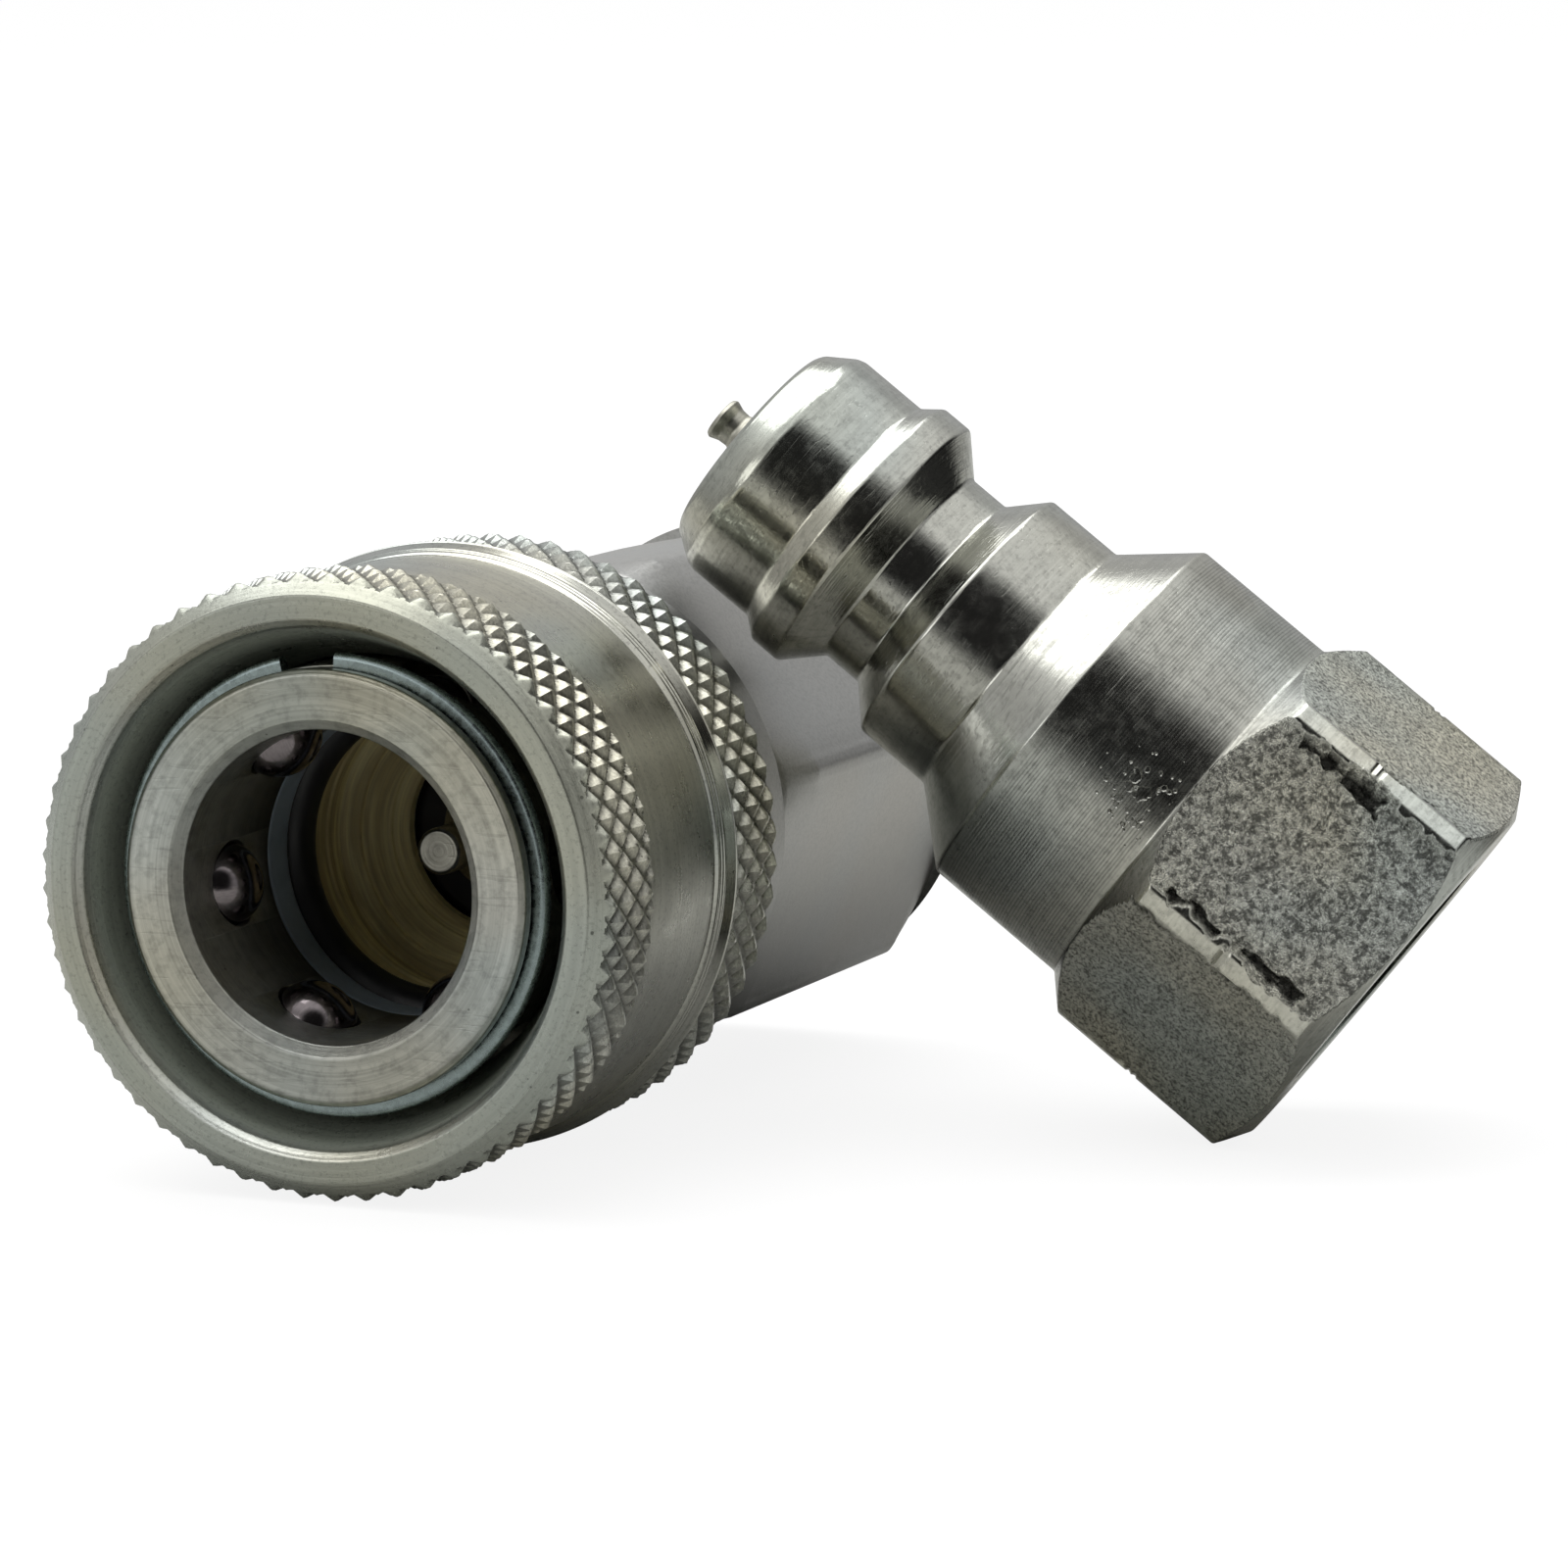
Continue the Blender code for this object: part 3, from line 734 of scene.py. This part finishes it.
def ball_steel(name, colour):
    """Polished bearing steel with a few rub marks."""
    mat = Material(name, Metallic=1.0)
    rubs = mat.noise(2.5, 4.0, 0.7, mat.scaled(mat.place, (1.0, 1.0, 4.0)))
    mat.bump(rubs, 0.12, 0.02)
    tone = mat.mix(mat.ramp(rubs, 0.4, 0.7), colour, shade(colour, 0.75))
    return mat.done(tone, mat.ramp(rubs, 0.3, 0.75, 0.08, 0.24))


# Colours: the plating with its cool and its warm tint, the rear body's greyer plating and the valves' steel
# in the same order, the two golds of the unplated valve seat, and the sleeve's recess.
BASE = (0.56, 0.562, 0.508)
WARM = (0.58, 0.55, 0.42)
ZINC = (BASE, (0.48, 0.545, 0.54), WARM)
REAR_ZINC = ((0.45, 0.45, 0.435), (0.44, 0.45, 0.445), (0.46, 0.445, 0.415))
BARE_STEEL = ((0.44, 0.43, 0.38), BASE, WARM)
GOLD = (1.0, 0.9, 0.54)
DARK_GOLD = (0.66, 0.56, 0.31)
RECESS = (0.4, 0.435, 0.365)

SLEEVE_STEEL = knurled_steel("knurled_zinc", ZINC, 0.3)
BARREL_STEEL = turned_steel("barrel_zinc", ZINC, 0.34, relief=0.6, line_pitch=6.0, specks=0.5)
NIPPLE_STEEL = forged_steel("nipple_zinc", ZINC, 0.18)
REAR_STEEL = forged_steel("rear_zinc", REAR_ZINC, 0.36, relief=0.15)
BRIGHT_STEEL = turned_steel("bright_steel", BARE_STEEL, 0.3, relief=1.0, line_pitch=5.0, specks=0.6)
WIRE = wire_steel("spring_wire", (0.5, 0.51, 0.5))
CLIP = wire_steel("clip_zinc", (0.34, 0.41, 0.41))
# The balls' colour, far darker than polished steel, is painted shade for their place in the bore's holes.
BALL = ball_steel("ball_steel", (0.22, 0.195, 0.2))
BLACK = rubber("black_rubber", (0.012, 0.012, 0.013))
# Deep in the bore the photographed ring looks blue-grey.
# Its dark blue-grey is painted shade, for the ring's place deep in the bore.
PTFE = ptfe("white_ring", (0.30, 0.36, 0.42))


# ---- Socket ----


def knurl(grid, z_range, crest_r):
    """Cuts a diamond knurl, a little longer than wide, into the rows of a band."""
    around = grid.angle / (2 * math.pi) * TEETH
    along = grid.z / KNURL_PITCH
    first = 1 - np.abs(((around + along) % 1) * 2 - 1)
    second = 1 - np.abs(((around - along) % 1) * 2 - 1)
    tooth = np.minimum(first, second)
    place = np.stack([crest_r * np.cos(grid.angle), crest_r * np.sin(grid.angle), grid.z], axis=-1)
    worn = 0.03 + 0.04 * (lattice_noise(place, 0.9, 3) + 1)
    cut_r = np.minimum(crest_r - KNURL_DEPTH * (1 - tooth), crest_r - worn)
    inside = (grid.z > z_range[0]) & (grid.z < z_range[1]) & (grid.r > crest_r - 1.2)
    cut = inside & (cut_r < grid.r)
    grid.r = np.where(cut, cut_r, grid.r)
    grid.values["knurl"] = np.maximum(grid.values["knurl"], cut)
    grid.values["cavity"] = np.where(cut, 1 - tooth, grid.values["cavity"])


def locking_sleeve():
    """The sliding sleeve, with two knurled bands, a satin waist and a polished band with fine ridges."""
    ridges = []
    for z in np.arange(13.55, 14.05, 0.2):
        r = 13.93 + (z - 13.45) * 0.27
        ridges += [(r + 0.003, z), (r - 0.003, z + 0.1)]
    outline = [
        (12.25, 0.0), (13.3, 0.0), (SLEEVE_R, 0.95), (SLEEVE_R, 5.4), (13.8, 5.9), (13.8, 13.25),
        (13.92, 13.42), *ridges, (14.25, 14.75), (SLEEVE_R, 14.8), (SLEEVE_R, 19.8), (13.7, 20.3),
        (12.65, 20.3), (12.65, 8.3), (10.05, 8.3), (10.05, 6.1), (11.9, 0.43),
    ]
    half_tooth = math.pi * SLEEVE_R / TEETH
    outline = softened(outline, 0.07)
    for band in REFINED_BANDS:
        outline = refined(outline, half_tooth / TOOTH_STEPS, band)
    grid = Grid(outline, 2 * TEETH * TOOTH_STEPS)
    zeros = np.zeros_like(grid.r)
    grid.values.update(knurl=zeros, cavity=zeros)
    outside = grid.r > 12.9
    polished = outside & (grid.z > 13.2) & (grid.z < 14.85)
    front = outside & (grid.z > 0.02) & (grid.z < 1.1)
    grid.values["polish"] = np.where(polished, 1.0, np.where(front, 0.35, 0.0))
    recess_and_face_shade = np.where((grid.r < 12.2) & (grid.z < 8.4), smooth_step(0.2, 1.2, grid.z), 0.0)
    # The front face, its chamfer and the first millimetre of knurl take 0.45 of the dull grey-green: painted
    # shade.
    grid.values["recess_and_face_shade"] = np.where(front | ((grid.r > 12.2) & (grid.z <= 0.02)), 0.45, recess_and_face_shade)
    for band in KNURL_BANDS:
        knurl(grid, band, SLEEVE_R)
    turned("sleeve", grid, SOCKET, SLEEVE_STEEL, "sleeve", "locking_sleeve")


def ball_angles():
    return [math.radians(FIRST_BALL_ANGLE + 360 * k / BALL_COUNT) for k in range(BALL_COUNT)]


def weld(mesh):
    """Joins points that lie together, as on a turned piece's axis."""
    bm = bmesh.new()
    bm.from_mesh(mesh)
    bmesh.ops.remove_doubles(bm, verts=bm.verts, dist=1e-7)
    bmesh.ops.dissolve_degenerate(bm, edges=bm.edges, dist=1e-8)
    bmesh.ops.recalc_face_normals(bm, faces=bm.faces)
    bm.to_mesh(mesh)
    bm.free()


def plugs(name, plug, places):
    """One mesh of equal plugs, each turned and moved to its place by a 4 x 4 matrix in millimetres."""
    corners = plug.points().reshape(-1, 3)
    points = [corners @ np.array(place.to_3x3()).T + np.array(place.translation) for place in places]
    faces = [plug.faces() + len(corners) * k for k in range(len(places))]
    mesh = new_mesh(name, np.concatenate(points), np.concatenate(faces).tolist(), CREASE)
    weld(mesh)
    outward(mesh)
    return mesh


def drilled(blank, cutter_mesh):
    """The blank's mesh less the cutter's, by a Boolean."""
    outward(blank)
    body = bpy.data.objects.new("blank", blank)
    cutter = bpy.data.objects.new("cutter", cutter_mesh)
    for obj in (body, cutter):
        bpy.context.scene.collection.objects.link(obj)
    cut = body.modifiers.new("holes", "BOOLEAN")
    cut.operation = "DIFFERENCE"
    cut.solver = "EXACT"
    cut.object = cutter
    bpy.context.view_layer.update()
    graph = bpy.context.evaluated_depsgraph_get()
    made = bpy.data.meshes.new_from_object(body.evaluated_get(graph))
    made.set_sharp_from_angle(angle=math.radians(CREASE))
    for obj in (body, cutter):
        bpy.data.objects.remove(obj, do_unlink=True)
    return made


def ball_hole_cutter():
    """Plugs that leave each ball hole a little tighter at the bore."""
    outline = [(0.0, 6.2), (2.01, 6.2), (2.01, 7.2), (2.2, 8.2), (2.2, 11.0), (0.0, 11.0)]
    places = []
    for angle in ball_angles():
        out = Vector((math.cos(angle), math.sin(angle), 0))
        turn = Vector((0, 0, 1)).rotation_difference(out).to_matrix().to_4x4()
        places.append(Matrix.Translation((0, 0, BALL_Z)) @ turn)
    return plugs("ball_hole_cutter", Grid(outline, 48, closed=False), places)


def socket_barrel():
    """The barrel: bright mouth, bore with six ball holes, seal groove and the golden valve seat."""
    cone = [(4.6, 19.7), (5.2, 19.1), (5.2, 18.95), (6.3, 17.95), (6.3, 17.8), (6.9, 17.3)]
    outline = [
        (7.7, 0.65), (9.67, 0.65), (9.92, 0.9), (9.92, 1.5), (9.3, 1.5), (9.3, 2.6), (9.92, 2.6),
        (9.92, 18.3), (9.6, 18.3), (9.6, 23.9), (8.4, 23.9), (8.4, 25.4), (9.6, 25.4), (9.6, 26.0),
        (6.6, 26.0), (6.6, 22.3), (4.6, 20.3), *cone, (7.1, 17.1), (7.1, 16.1), (7.0, 16.0),
        (7.0, 15.8), (7.1, 15.7), (7.1, 14.4), (8.9, 14.4), (8.9, 9.7), (7.15, 9.7), (7.15, 1.15),
    ]
    grid = Grid(softened(outline, 0.07), FINE)
    inside = grid.r < 7.4
    grid.values["warm"] = np.where(inside, smooth_step(13.0, 14.5, grid.z), 0.0)
    mouth = smooth_step(1.0, 1.6, grid.z) * (1 - smooth_step(13.0, 14.5, grid.z))
    # Down the bore, from just inside the mouth to the valve seat, the walls are painted dark and dull:
    # painted shade.
    grid.values["painted_bore_shade"] = np.where(inside, mouth, 0.0)
    blank = grid_mesh("barrel", grid)
    add_values(blank, grid.values)
    barrel = drilled(blank, ball_hole_cutter())
    show("barrel", barrel, SOCKET, BARREL_STEEL, "socket", "socket_barrel")


def socket_adapter():
    """The rear body: a smooth hexagon, painted darker underneath as shade, with a threaded port."""
    outline = [
        (9.9, 18.6), (12.3, 18.6), (12.3, 25.5), (12.45, 26.0), (13.0, 29.2), (13.0, 49.2),
        (12.1, 51.0), (6.9, 51.0), (5.7, 49.8), (5.7, 39.8), (5.2, 39.8), (5.2, 39.2), (7.6, 39.2),
        (7.6, 26.3), (9.9, 26.3),
    ]
    outline = refined(softened(outline, 0.08), 0.14, (25.6, 50.95))
    grid = Grid(outline, 540)
    forge(grid, (25.5, 51.0), across_flats=23.0, roll=-11.0, relief=0.12, seed=21, soft=0.42)
    # The underside, towards the floor, is painted darker by up to 0.7 through the gouge value: painted
    # shade.
    underside_shade = 0.8 * smooth_step(-0.1, 0.85, np.sin(grid.angle))
    grid.values["gouge_and_shade"] = np.maximum(grid.values["gouge_and_shade"], np.where(grid.r > 9.0, underside_shade, 0.0))
    grid.values["forged"] = np.where((grid.r > 9.0) & (grid.z > 25.4), 1.0, grid.values["forged"])
    thread(grid, (40.5, 50.9))
    turned("rear_body", grid, SOCKET, REAR_STEEL, "socket", "socket_adapter", crease=70.0)


def small_socket_pieces():
    """The pieces inside the socket and its rings."""
    snap = split_ring_mesh("snap_ring_zinc", 9.45, 10.55, (1.7, 2.4), 263.5, 15.0)
    show("snap_ring_zinc", snap, SOCKET, CLIP, "socket", "snap_ring")
    o_ring = Grid(arc((7.6, 13.15), 1.1, 0, 345, 23), FINE)
    turned("bore_seal", o_ring, SOCKET, BLACK, "socket", "socket_o_ring")
    backup = Grid(softened([(7.2, 9.9), (8.7, 9.9), (8.7, 11.9), (7.2, 11.9)], 0.15), FINE)
    turned("backup_ring", backup, SOCKET, PTFE, "socket", "socket_backup_ring")
    joint_seal = Grid(arc((9.1, 24.65), 0.55, 0, 337.5, 15), SMALL)
    turned("joint_seal", joint_seal, SOCKET, BLACK, "socket", "joint_o_ring")
    add_spring(
        "sleeve_return_spring", "sleeve_turn", "sleeve_spring",
        SOCKET, mean_r=11.3, wire_r=0.55, z_range=(8.6, 18.3), turns=3.5,
    )
    add_spring(
        "socket_spring", "socket", "socket_valve_spring",
        SOCKET, mean_r=3.6, wire_r=0.45, z_range=(24.6, 36.2), turns=6,
    )


def add_spring(name, body, node, half, mean_r, wire_r, z_range, turns):
    """A compression spring on its body, with a mesh of its own."""
    coil = coil_mesh(name, mean_r, wire_r, z_range, turns)
    spring = show(name, coil, half, WIRE, body, node)
    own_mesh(spring)


def balls():
    """Six balls, each on its own body."""
    half_turn = np.linspace(-math.pi / 2, math.pi / 2, 33)
    for k, angle in enumerate(ball_angles(), 1):
        outline = [(BALL_R * math.cos(a), BALL_R * math.sin(a)) for a in half_turn]
        mesh = grid_mesh(f"lock_ball_{k}", Grid(outline, 64, closed=False), 180.0)
        weld(mesh)
        mesh.shade_smooth()
        centre = (BALL_CENTRE_R * math.cos(angle), BALL_CENTRE_R * math.sin(angle), BALL_Z)
        turn = Euler((0.4 * k, 0.9 * k, angle)).to_matrix().to_4x4()
        place = SOCKET @ Matrix.Translation(Vector(centre) * MM) @ turn
        show(f"lock_ball_{k}", mesh, place, BALL, f"ball_{k}", f"ball_{k}")


def pin(name, outline, half, body, node):
    """A turned steel piece whose outline starts and ends on the axis."""
    grid = Grid(softened(outline, 0.06, closed=False), SMALL, closed=False)
    mesh = grid_mesh(name, grid)
    add_values(mesh, grid.values)
    weld(mesh)
    mesh.shade_smooth()
    mesh.set_sharp_from_angle(angle=math.radians(CREASE))
    show(name, mesh, half, BRIGHT_STEEL, body, node)


def socket_valve():
    """The socket's poppet, its seal and its guide."""
    poppet = [
        (0.0, 13.0), (0.4, 13.02), (0.95, 13.0), (1.1, 13.15), (1.1, 19.4), (2.9, 19.9),
        (2.9, 20.25), (2.1, 20.25), (2.1, 22.4), (6.1, 22.4), (6.1, 23.5), (2.6, 24.4), (1.6, 24.4),
        (1.6, 37.9), (1.3, 38.2), (0.0, 38.2),
    ]
    pin("socket_valve_pin", poppet, SOCKET, "socket_valve", "socket_poppet")
    outline = [(2.3, 20.45), (4.4, 20.45), (5.85, 21.9), (5.85, 22.2), (2.3, 22.2)]
    seal = Grid(softened(outline, 0.15), SMALL)
    turned("socket_valve_seal", seal, SOCKET, BLACK, "socket_valve", "socket_poppet_seal")
    guide("socket", SOCKET, 7.3, 1.75, (36.4, 38.9), hole_r=1.0, hole_circle_r=5.8)


def guide(body, half, disc_r, bore_r, z_range, hole_r, hole_circle_r):
    """A valve's guide: a disc with a bore and six holes round it."""
    name = body + "_guide"
    low, high = z_range
    outline = softened([(bore_r, low), (disc_r, low), (disc_r, high), (bore_r, high)], 0.12)
    plug = Grid([(0.0, low - 1), (hole_r, low - 1), (hole_r, high + 1), (0.0, high + 1)], 32, closed=False)
    places = []
    for angle in np.radians(range(0, 360, 60)):
        centre = (hole_circle_r * math.cos(angle), hole_circle_r * math.sin(angle), 0)
        places.append(Matrix.Translation(centre))
    mesh = drilled(grid_mesh(name, Grid(outline, SMALL)), plugs(name + "_holes", plug, places))
    show(name, mesh, half, BRIGHT_STEEL, body, body + "_valve_guide")


# ---- Nipple ----


def nipple_body():
    """The nipple's body: polished probe, ball groove, collar, lined shoulder and forged hexagon."""
    pockets = [
        (5, (33.7, 37.6), (0.45, 1.25)),
        (5, (29.4, 33.3), (0.5, 0.95)),
        (4, (29.8, 32.7), (0.7, 1.15)),
        (4, (32.3, 34.6), (0.5, 1.5)),
    ]
    outline = [
        (3.3, 0.0), (5.15, 0.0), (5.45, 0.2), (6.3, 1.45), (6.42, 1.85), (6.42, 5.3), (7.14, 6.2),
        (7.14, 7.7), (5.43, 9.4), (5.43, 11.4), (7.08, 13.0), (7.08, 16.9), (9.87, 20.1),
        (9.87, 27.4), (11.3, 28.83), (11.3, 38.38), (9.6, 39.4), (6.9, 39.4), (5.7, 38.2),
        (5.7, 27.0), (5.25, 27.0), (5.25, 26.3), (5.8, 26.3), (5.8, 25.3), (5.25, 25.3),
        (5.25, 22.8), (4.3, 22.8), (4.3, 2.4), (3.3, 1.4),
    ]
    outline = softened(outline, 0.12)
    outline = refined(outline, 0.3, (20.2, 27.3))
    outline = refined(outline, 0.11, (27.45, 39.35))
    grid = Grid(outline, 600)
    forge(
        grid, (27.4, 39.4), across_flats=20.0, roll=0.0, relief=1.0, seed=7, soft=0.012,
        coarse=4, notches=(33.15, 33.5), pockets=pockets,
    )
    outside = grid.r > 5.0
    grid.values["polish"] = np.where((grid.z < 20.0) & outside, 1.0, 0.0)
    shoulder = smooth_step(20.3, 20.8, grid.z) * (1 - smooth_step(26.9, 27.3, grid.z))
    grid.values["lined"] = np.where(outside, shoulder, 0.0)
    scuff_angle = np.abs((grid.angle - math.radians(284) + math.pi) % (2 * math.pi) - math.pi)
    spot = np.exp(-((scuff_angle / 0.2) ** 2) - ((grid.z - 25.6) / 1.8) ** 2)
    grid.values["scuff"] = np.where(outside, spot, 0.0)
    thread(grid, (27.6, 39.3))
    turned("nipple", grid, NIPPLE, NIPPLE_STEEL, "nipple", "nipple_body", crease=50.0)


def nipple_valve():
    """The nipple's poppet with its flared pin, the seal, spring, guide and clip."""
    poppet = [
        (0.0, -1.8), (0.6, -1.82), (0.98, -1.9), (1.1, -1.7), (0.93, -1.25), (0.9, -0.8),
        (1.1, -0.35), (1.75, 0.15), (2.6, 1.2), (2.6, 1.6), (1.7, 1.6), (1.7, 3.2), (3.9, 3.2),
        (3.9, 4.1), (1.3, 4.5), (1.3, 24.2), (0.0, 24.4),
    ]
    pin("nipple_valve_pin", poppet, NIPPLE, "nipple_valve", "nipple_poppet")
    seal = Grid(softened([(1.9, 1.8), (3.5, 1.8), (3.9, 2.2), (3.9, 3.0), (1.9, 3.0)], 0.12), SMALL)
    turned("nipple_valve_seal", seal, NIPPLE, BLACK, "nipple_valve", "nipple_poppet_seal")
    add_spring(
        "nipple_spring", "nipple", "nipple_valve_spring",
        NIPPLE, mean_r=2.9, wire_r=0.38, z_range=(4.8, 22.9), turns=7,
    )
    guide("nipple", NIPPLE, 5.05, 1.45, (23.1, 25.0), hole_r=0.7, hole_circle_r=4.0)
    clip = split_ring_mesh("guide_clip", 4.3, 5.6, (25.5, 26.1), 0.0, 30.0)
    show("guide_clip", clip, NIPPLE, CLIP, "nipple", "nipple_guide_clip")


# ---- Studio ----

# Brightness of the room as the metal sees it: the walls from the horizon up, and what the ceiling adds.
FLOOR_GREY = (0.52, 0.52, 0.5)
WALL_LIGHT = (0.36, 0.55)
CEILING_LIGHT = 0.45

# Two dark patches give the turned metal its dark bands: one where the camera and its stand are, and one on
# the right behind.  Each has a direction, and the cosines at which it fades in and is full.  On the floor it
# has the distances in metres at which it fades in and is full.
DARK_PATCH = Vector((0.42, -0.85, 0.3)).normalized()
DARK_PATCH_REACH = (0.77, 0.93)
DARK_PATCH_FLOOR = (0.09, 0.17)
DARK_WING = Vector((0.78, 0.61, 0.05)).normalized()
DARK_WING_REACH = (0.8, 0.94)
DARK_WING_FLOOR = (0.055, 0.09)
DARK_LEVEL = 0.04
DARK_FLOOR = (0.03, 0.03, 0.03)

OVERHEAD_WATTS = 6.0
FRONT_WATTS = 0.8

# The floor as the camera sees it: a little diffuse white on top of a glow, so that shadows stay faint.
PAPER = (0.17, 0.17, 0.17, 1.0)
PAPER_GLOW = 0.87
FLOOR_RINGS = (400.0, 1500.0, 6000.0)

CAMERA_PLACE = (117.63, -298.31, 61.6)
CAMERA_AIM = (-0.37244, 0.91763, -0.13873)
CAMERA_LENS = 157.5


def dark_end(nodes):
    """The floor's colour as the metal sees it: grey, and darker far out towards the two dark patches."""
    place = nodes.node("NewGeometry").outputs["Position"]
    heading = nodes.vector_maths("NORMALIZE", place)[0]
    far = nodes.vector_maths("LENGTH", place)["Value"]
    shares = []
    for patch, distances in ((DARK_PATCH, DARK_PATCH_FLOOR), (DARK_WING, DARK_WING_FLOOR)):
        level = Vector((patch.x, patch.y, 0)).normalized()
        side = nodes.ramp(nodes.towards(heading, level), 0.86, 0.96)
        shares.append(nodes.times(side, nodes.ramp(far, *distances)))
    return nodes.mix(nodes.maths("MAXIMUM", *shares), FLOOR_GREY, DARK_FLOOR)


def floor():
    """A pale floor, far larger than the view.

    It is lit like paper, with faint shadows.  The metal sees it in a middle grey, as a large table is seen.
    """
    mesh = grid_mesh("floor", Grid([(r, 0.0) for r in (0.0, *FLOOR_RINGS)], SMALL, closed=False))
    material = bpy.data.materials.new("pale_floor")
    material.use_nodes = True
    nodes = Nodes(material.node_tree)
    nodes.tree.nodes.remove(nodes.tree.nodes["Principled BSDF"])
    paper = nodes.node("BsdfDiffuse", {"Color": PAPER})
    lift = nodes.node("Emission", {"Strength": PAPER_GLOW})
    white = nodes.node("AddShader", {0: paper.outputs[0], 1: lift.outputs[0]})
    table = nodes.node("BsdfDiffuse", {"Color": dark_end(nodes)})
    seen = nodes.node("LightPath").outputs["Is Camera Ray"]
    shown = nodes.node("MixShader", {0: seen, 1: table.outputs[0], 2: white.outputs[0]})
    nodes.feed(nodes.tree.nodes["Material Output"].inputs["Surface"], shown.outputs[0])
    mesh.materials.append(material)
    obj = bpy.data.objects.new("floor", mesh)
    bpy.context.scene.collection.objects.link(obj)


def area_light(name, place, aim, size, power):
    data = bpy.data.lights.new(name, "AREA")
    data.shape = "RECTANGLE"
    data.size, data.size_y = size
    data.energy = power
    obj = bpy.data.objects.new(name, data)
    obj.location = place
    obj.rotation_euler = (Vector(aim) - Vector(place)).to_track_quat("-Z", "Y").to_euler()
    bpy.context.scene.collection.objects.link(obj)


def studio():
    """A grey room under a soft box, brighter above, with two dark patches.

    The camera itself sees the room as plain white.
    """
    world = bpy.data.worlds.new("studio")
    bpy.context.scene.world = world
    world.use_nodes = True
    nodes = Nodes(world.node_tree)
    direction = nodes.node("TexCoord").outputs["Generated"]
    height = nodes.node("SeparateXYZ", {0: direction}).outputs["Z"]
    walls = nodes.ramp(height, -0.05, 0.4, *WALL_LIGHT)
    room = nodes.maths("ADD", walls, nodes.ramp(height, 0.5, 0.78, 0.0, CEILING_LIGHT))
    for patch, reach in ((DARK_PATCH, DARK_PATCH_REACH), (DARK_WING, DARK_WING_REACH)):
        shade = nodes.ramp(nodes.towards(direction, patch), *reach, 1.0, DARK_LEVEL)
        room = nodes.times(room, shade)
    seen = nodes.node("LightPath").outputs["Is Camera Ray"]
    background = world.node_tree.nodes["Background"]
    background.inputs["Color"].default_value = (1.0, 1.0, 1.0, 1.0)
    nodes.feed(background.inputs["Strength"], nodes.blend(seen, room, 1.0))
    area_light("overhead", (-0.2, 0.15, 0.9), (0, 0, 0), (1.1, 0.9), OVERHEAD_WATTS)
    area_light("front", (-0.5, -1.0, 0.32), (0, 0, 0.015), (0.45, 0.45), FRONT_WATTS)


def camera():
    """The camera, well back with a long lens."""
    data = bpy.data.cameras.new("camera")
    data.sensor_width = 36.0
    data.lens = CAMERA_LENS
    data.clip_start = 0.01
    data.clip_end = 20.0
    obj = bpy.data.objects.new("camera", data)
    obj.location = Vector(CAMERA_PLACE) * MM
    obj.rotation_euler = Vector(CAMERA_AIM).to_track_quat("-Z", "Y").to_euler()
    bpy.context.scene.collection.objects.link(obj)
    bpy.context.scene.camera = obj


locking_sleeve()
socket_barrel()
socket_adapter()
small_socket_pieces()
balls()
socket_valve()
nipple_body()
nipple_valve()
floor()
studio()
camera()
bpy.context.scene.view_settings.view_transform = "Standard"
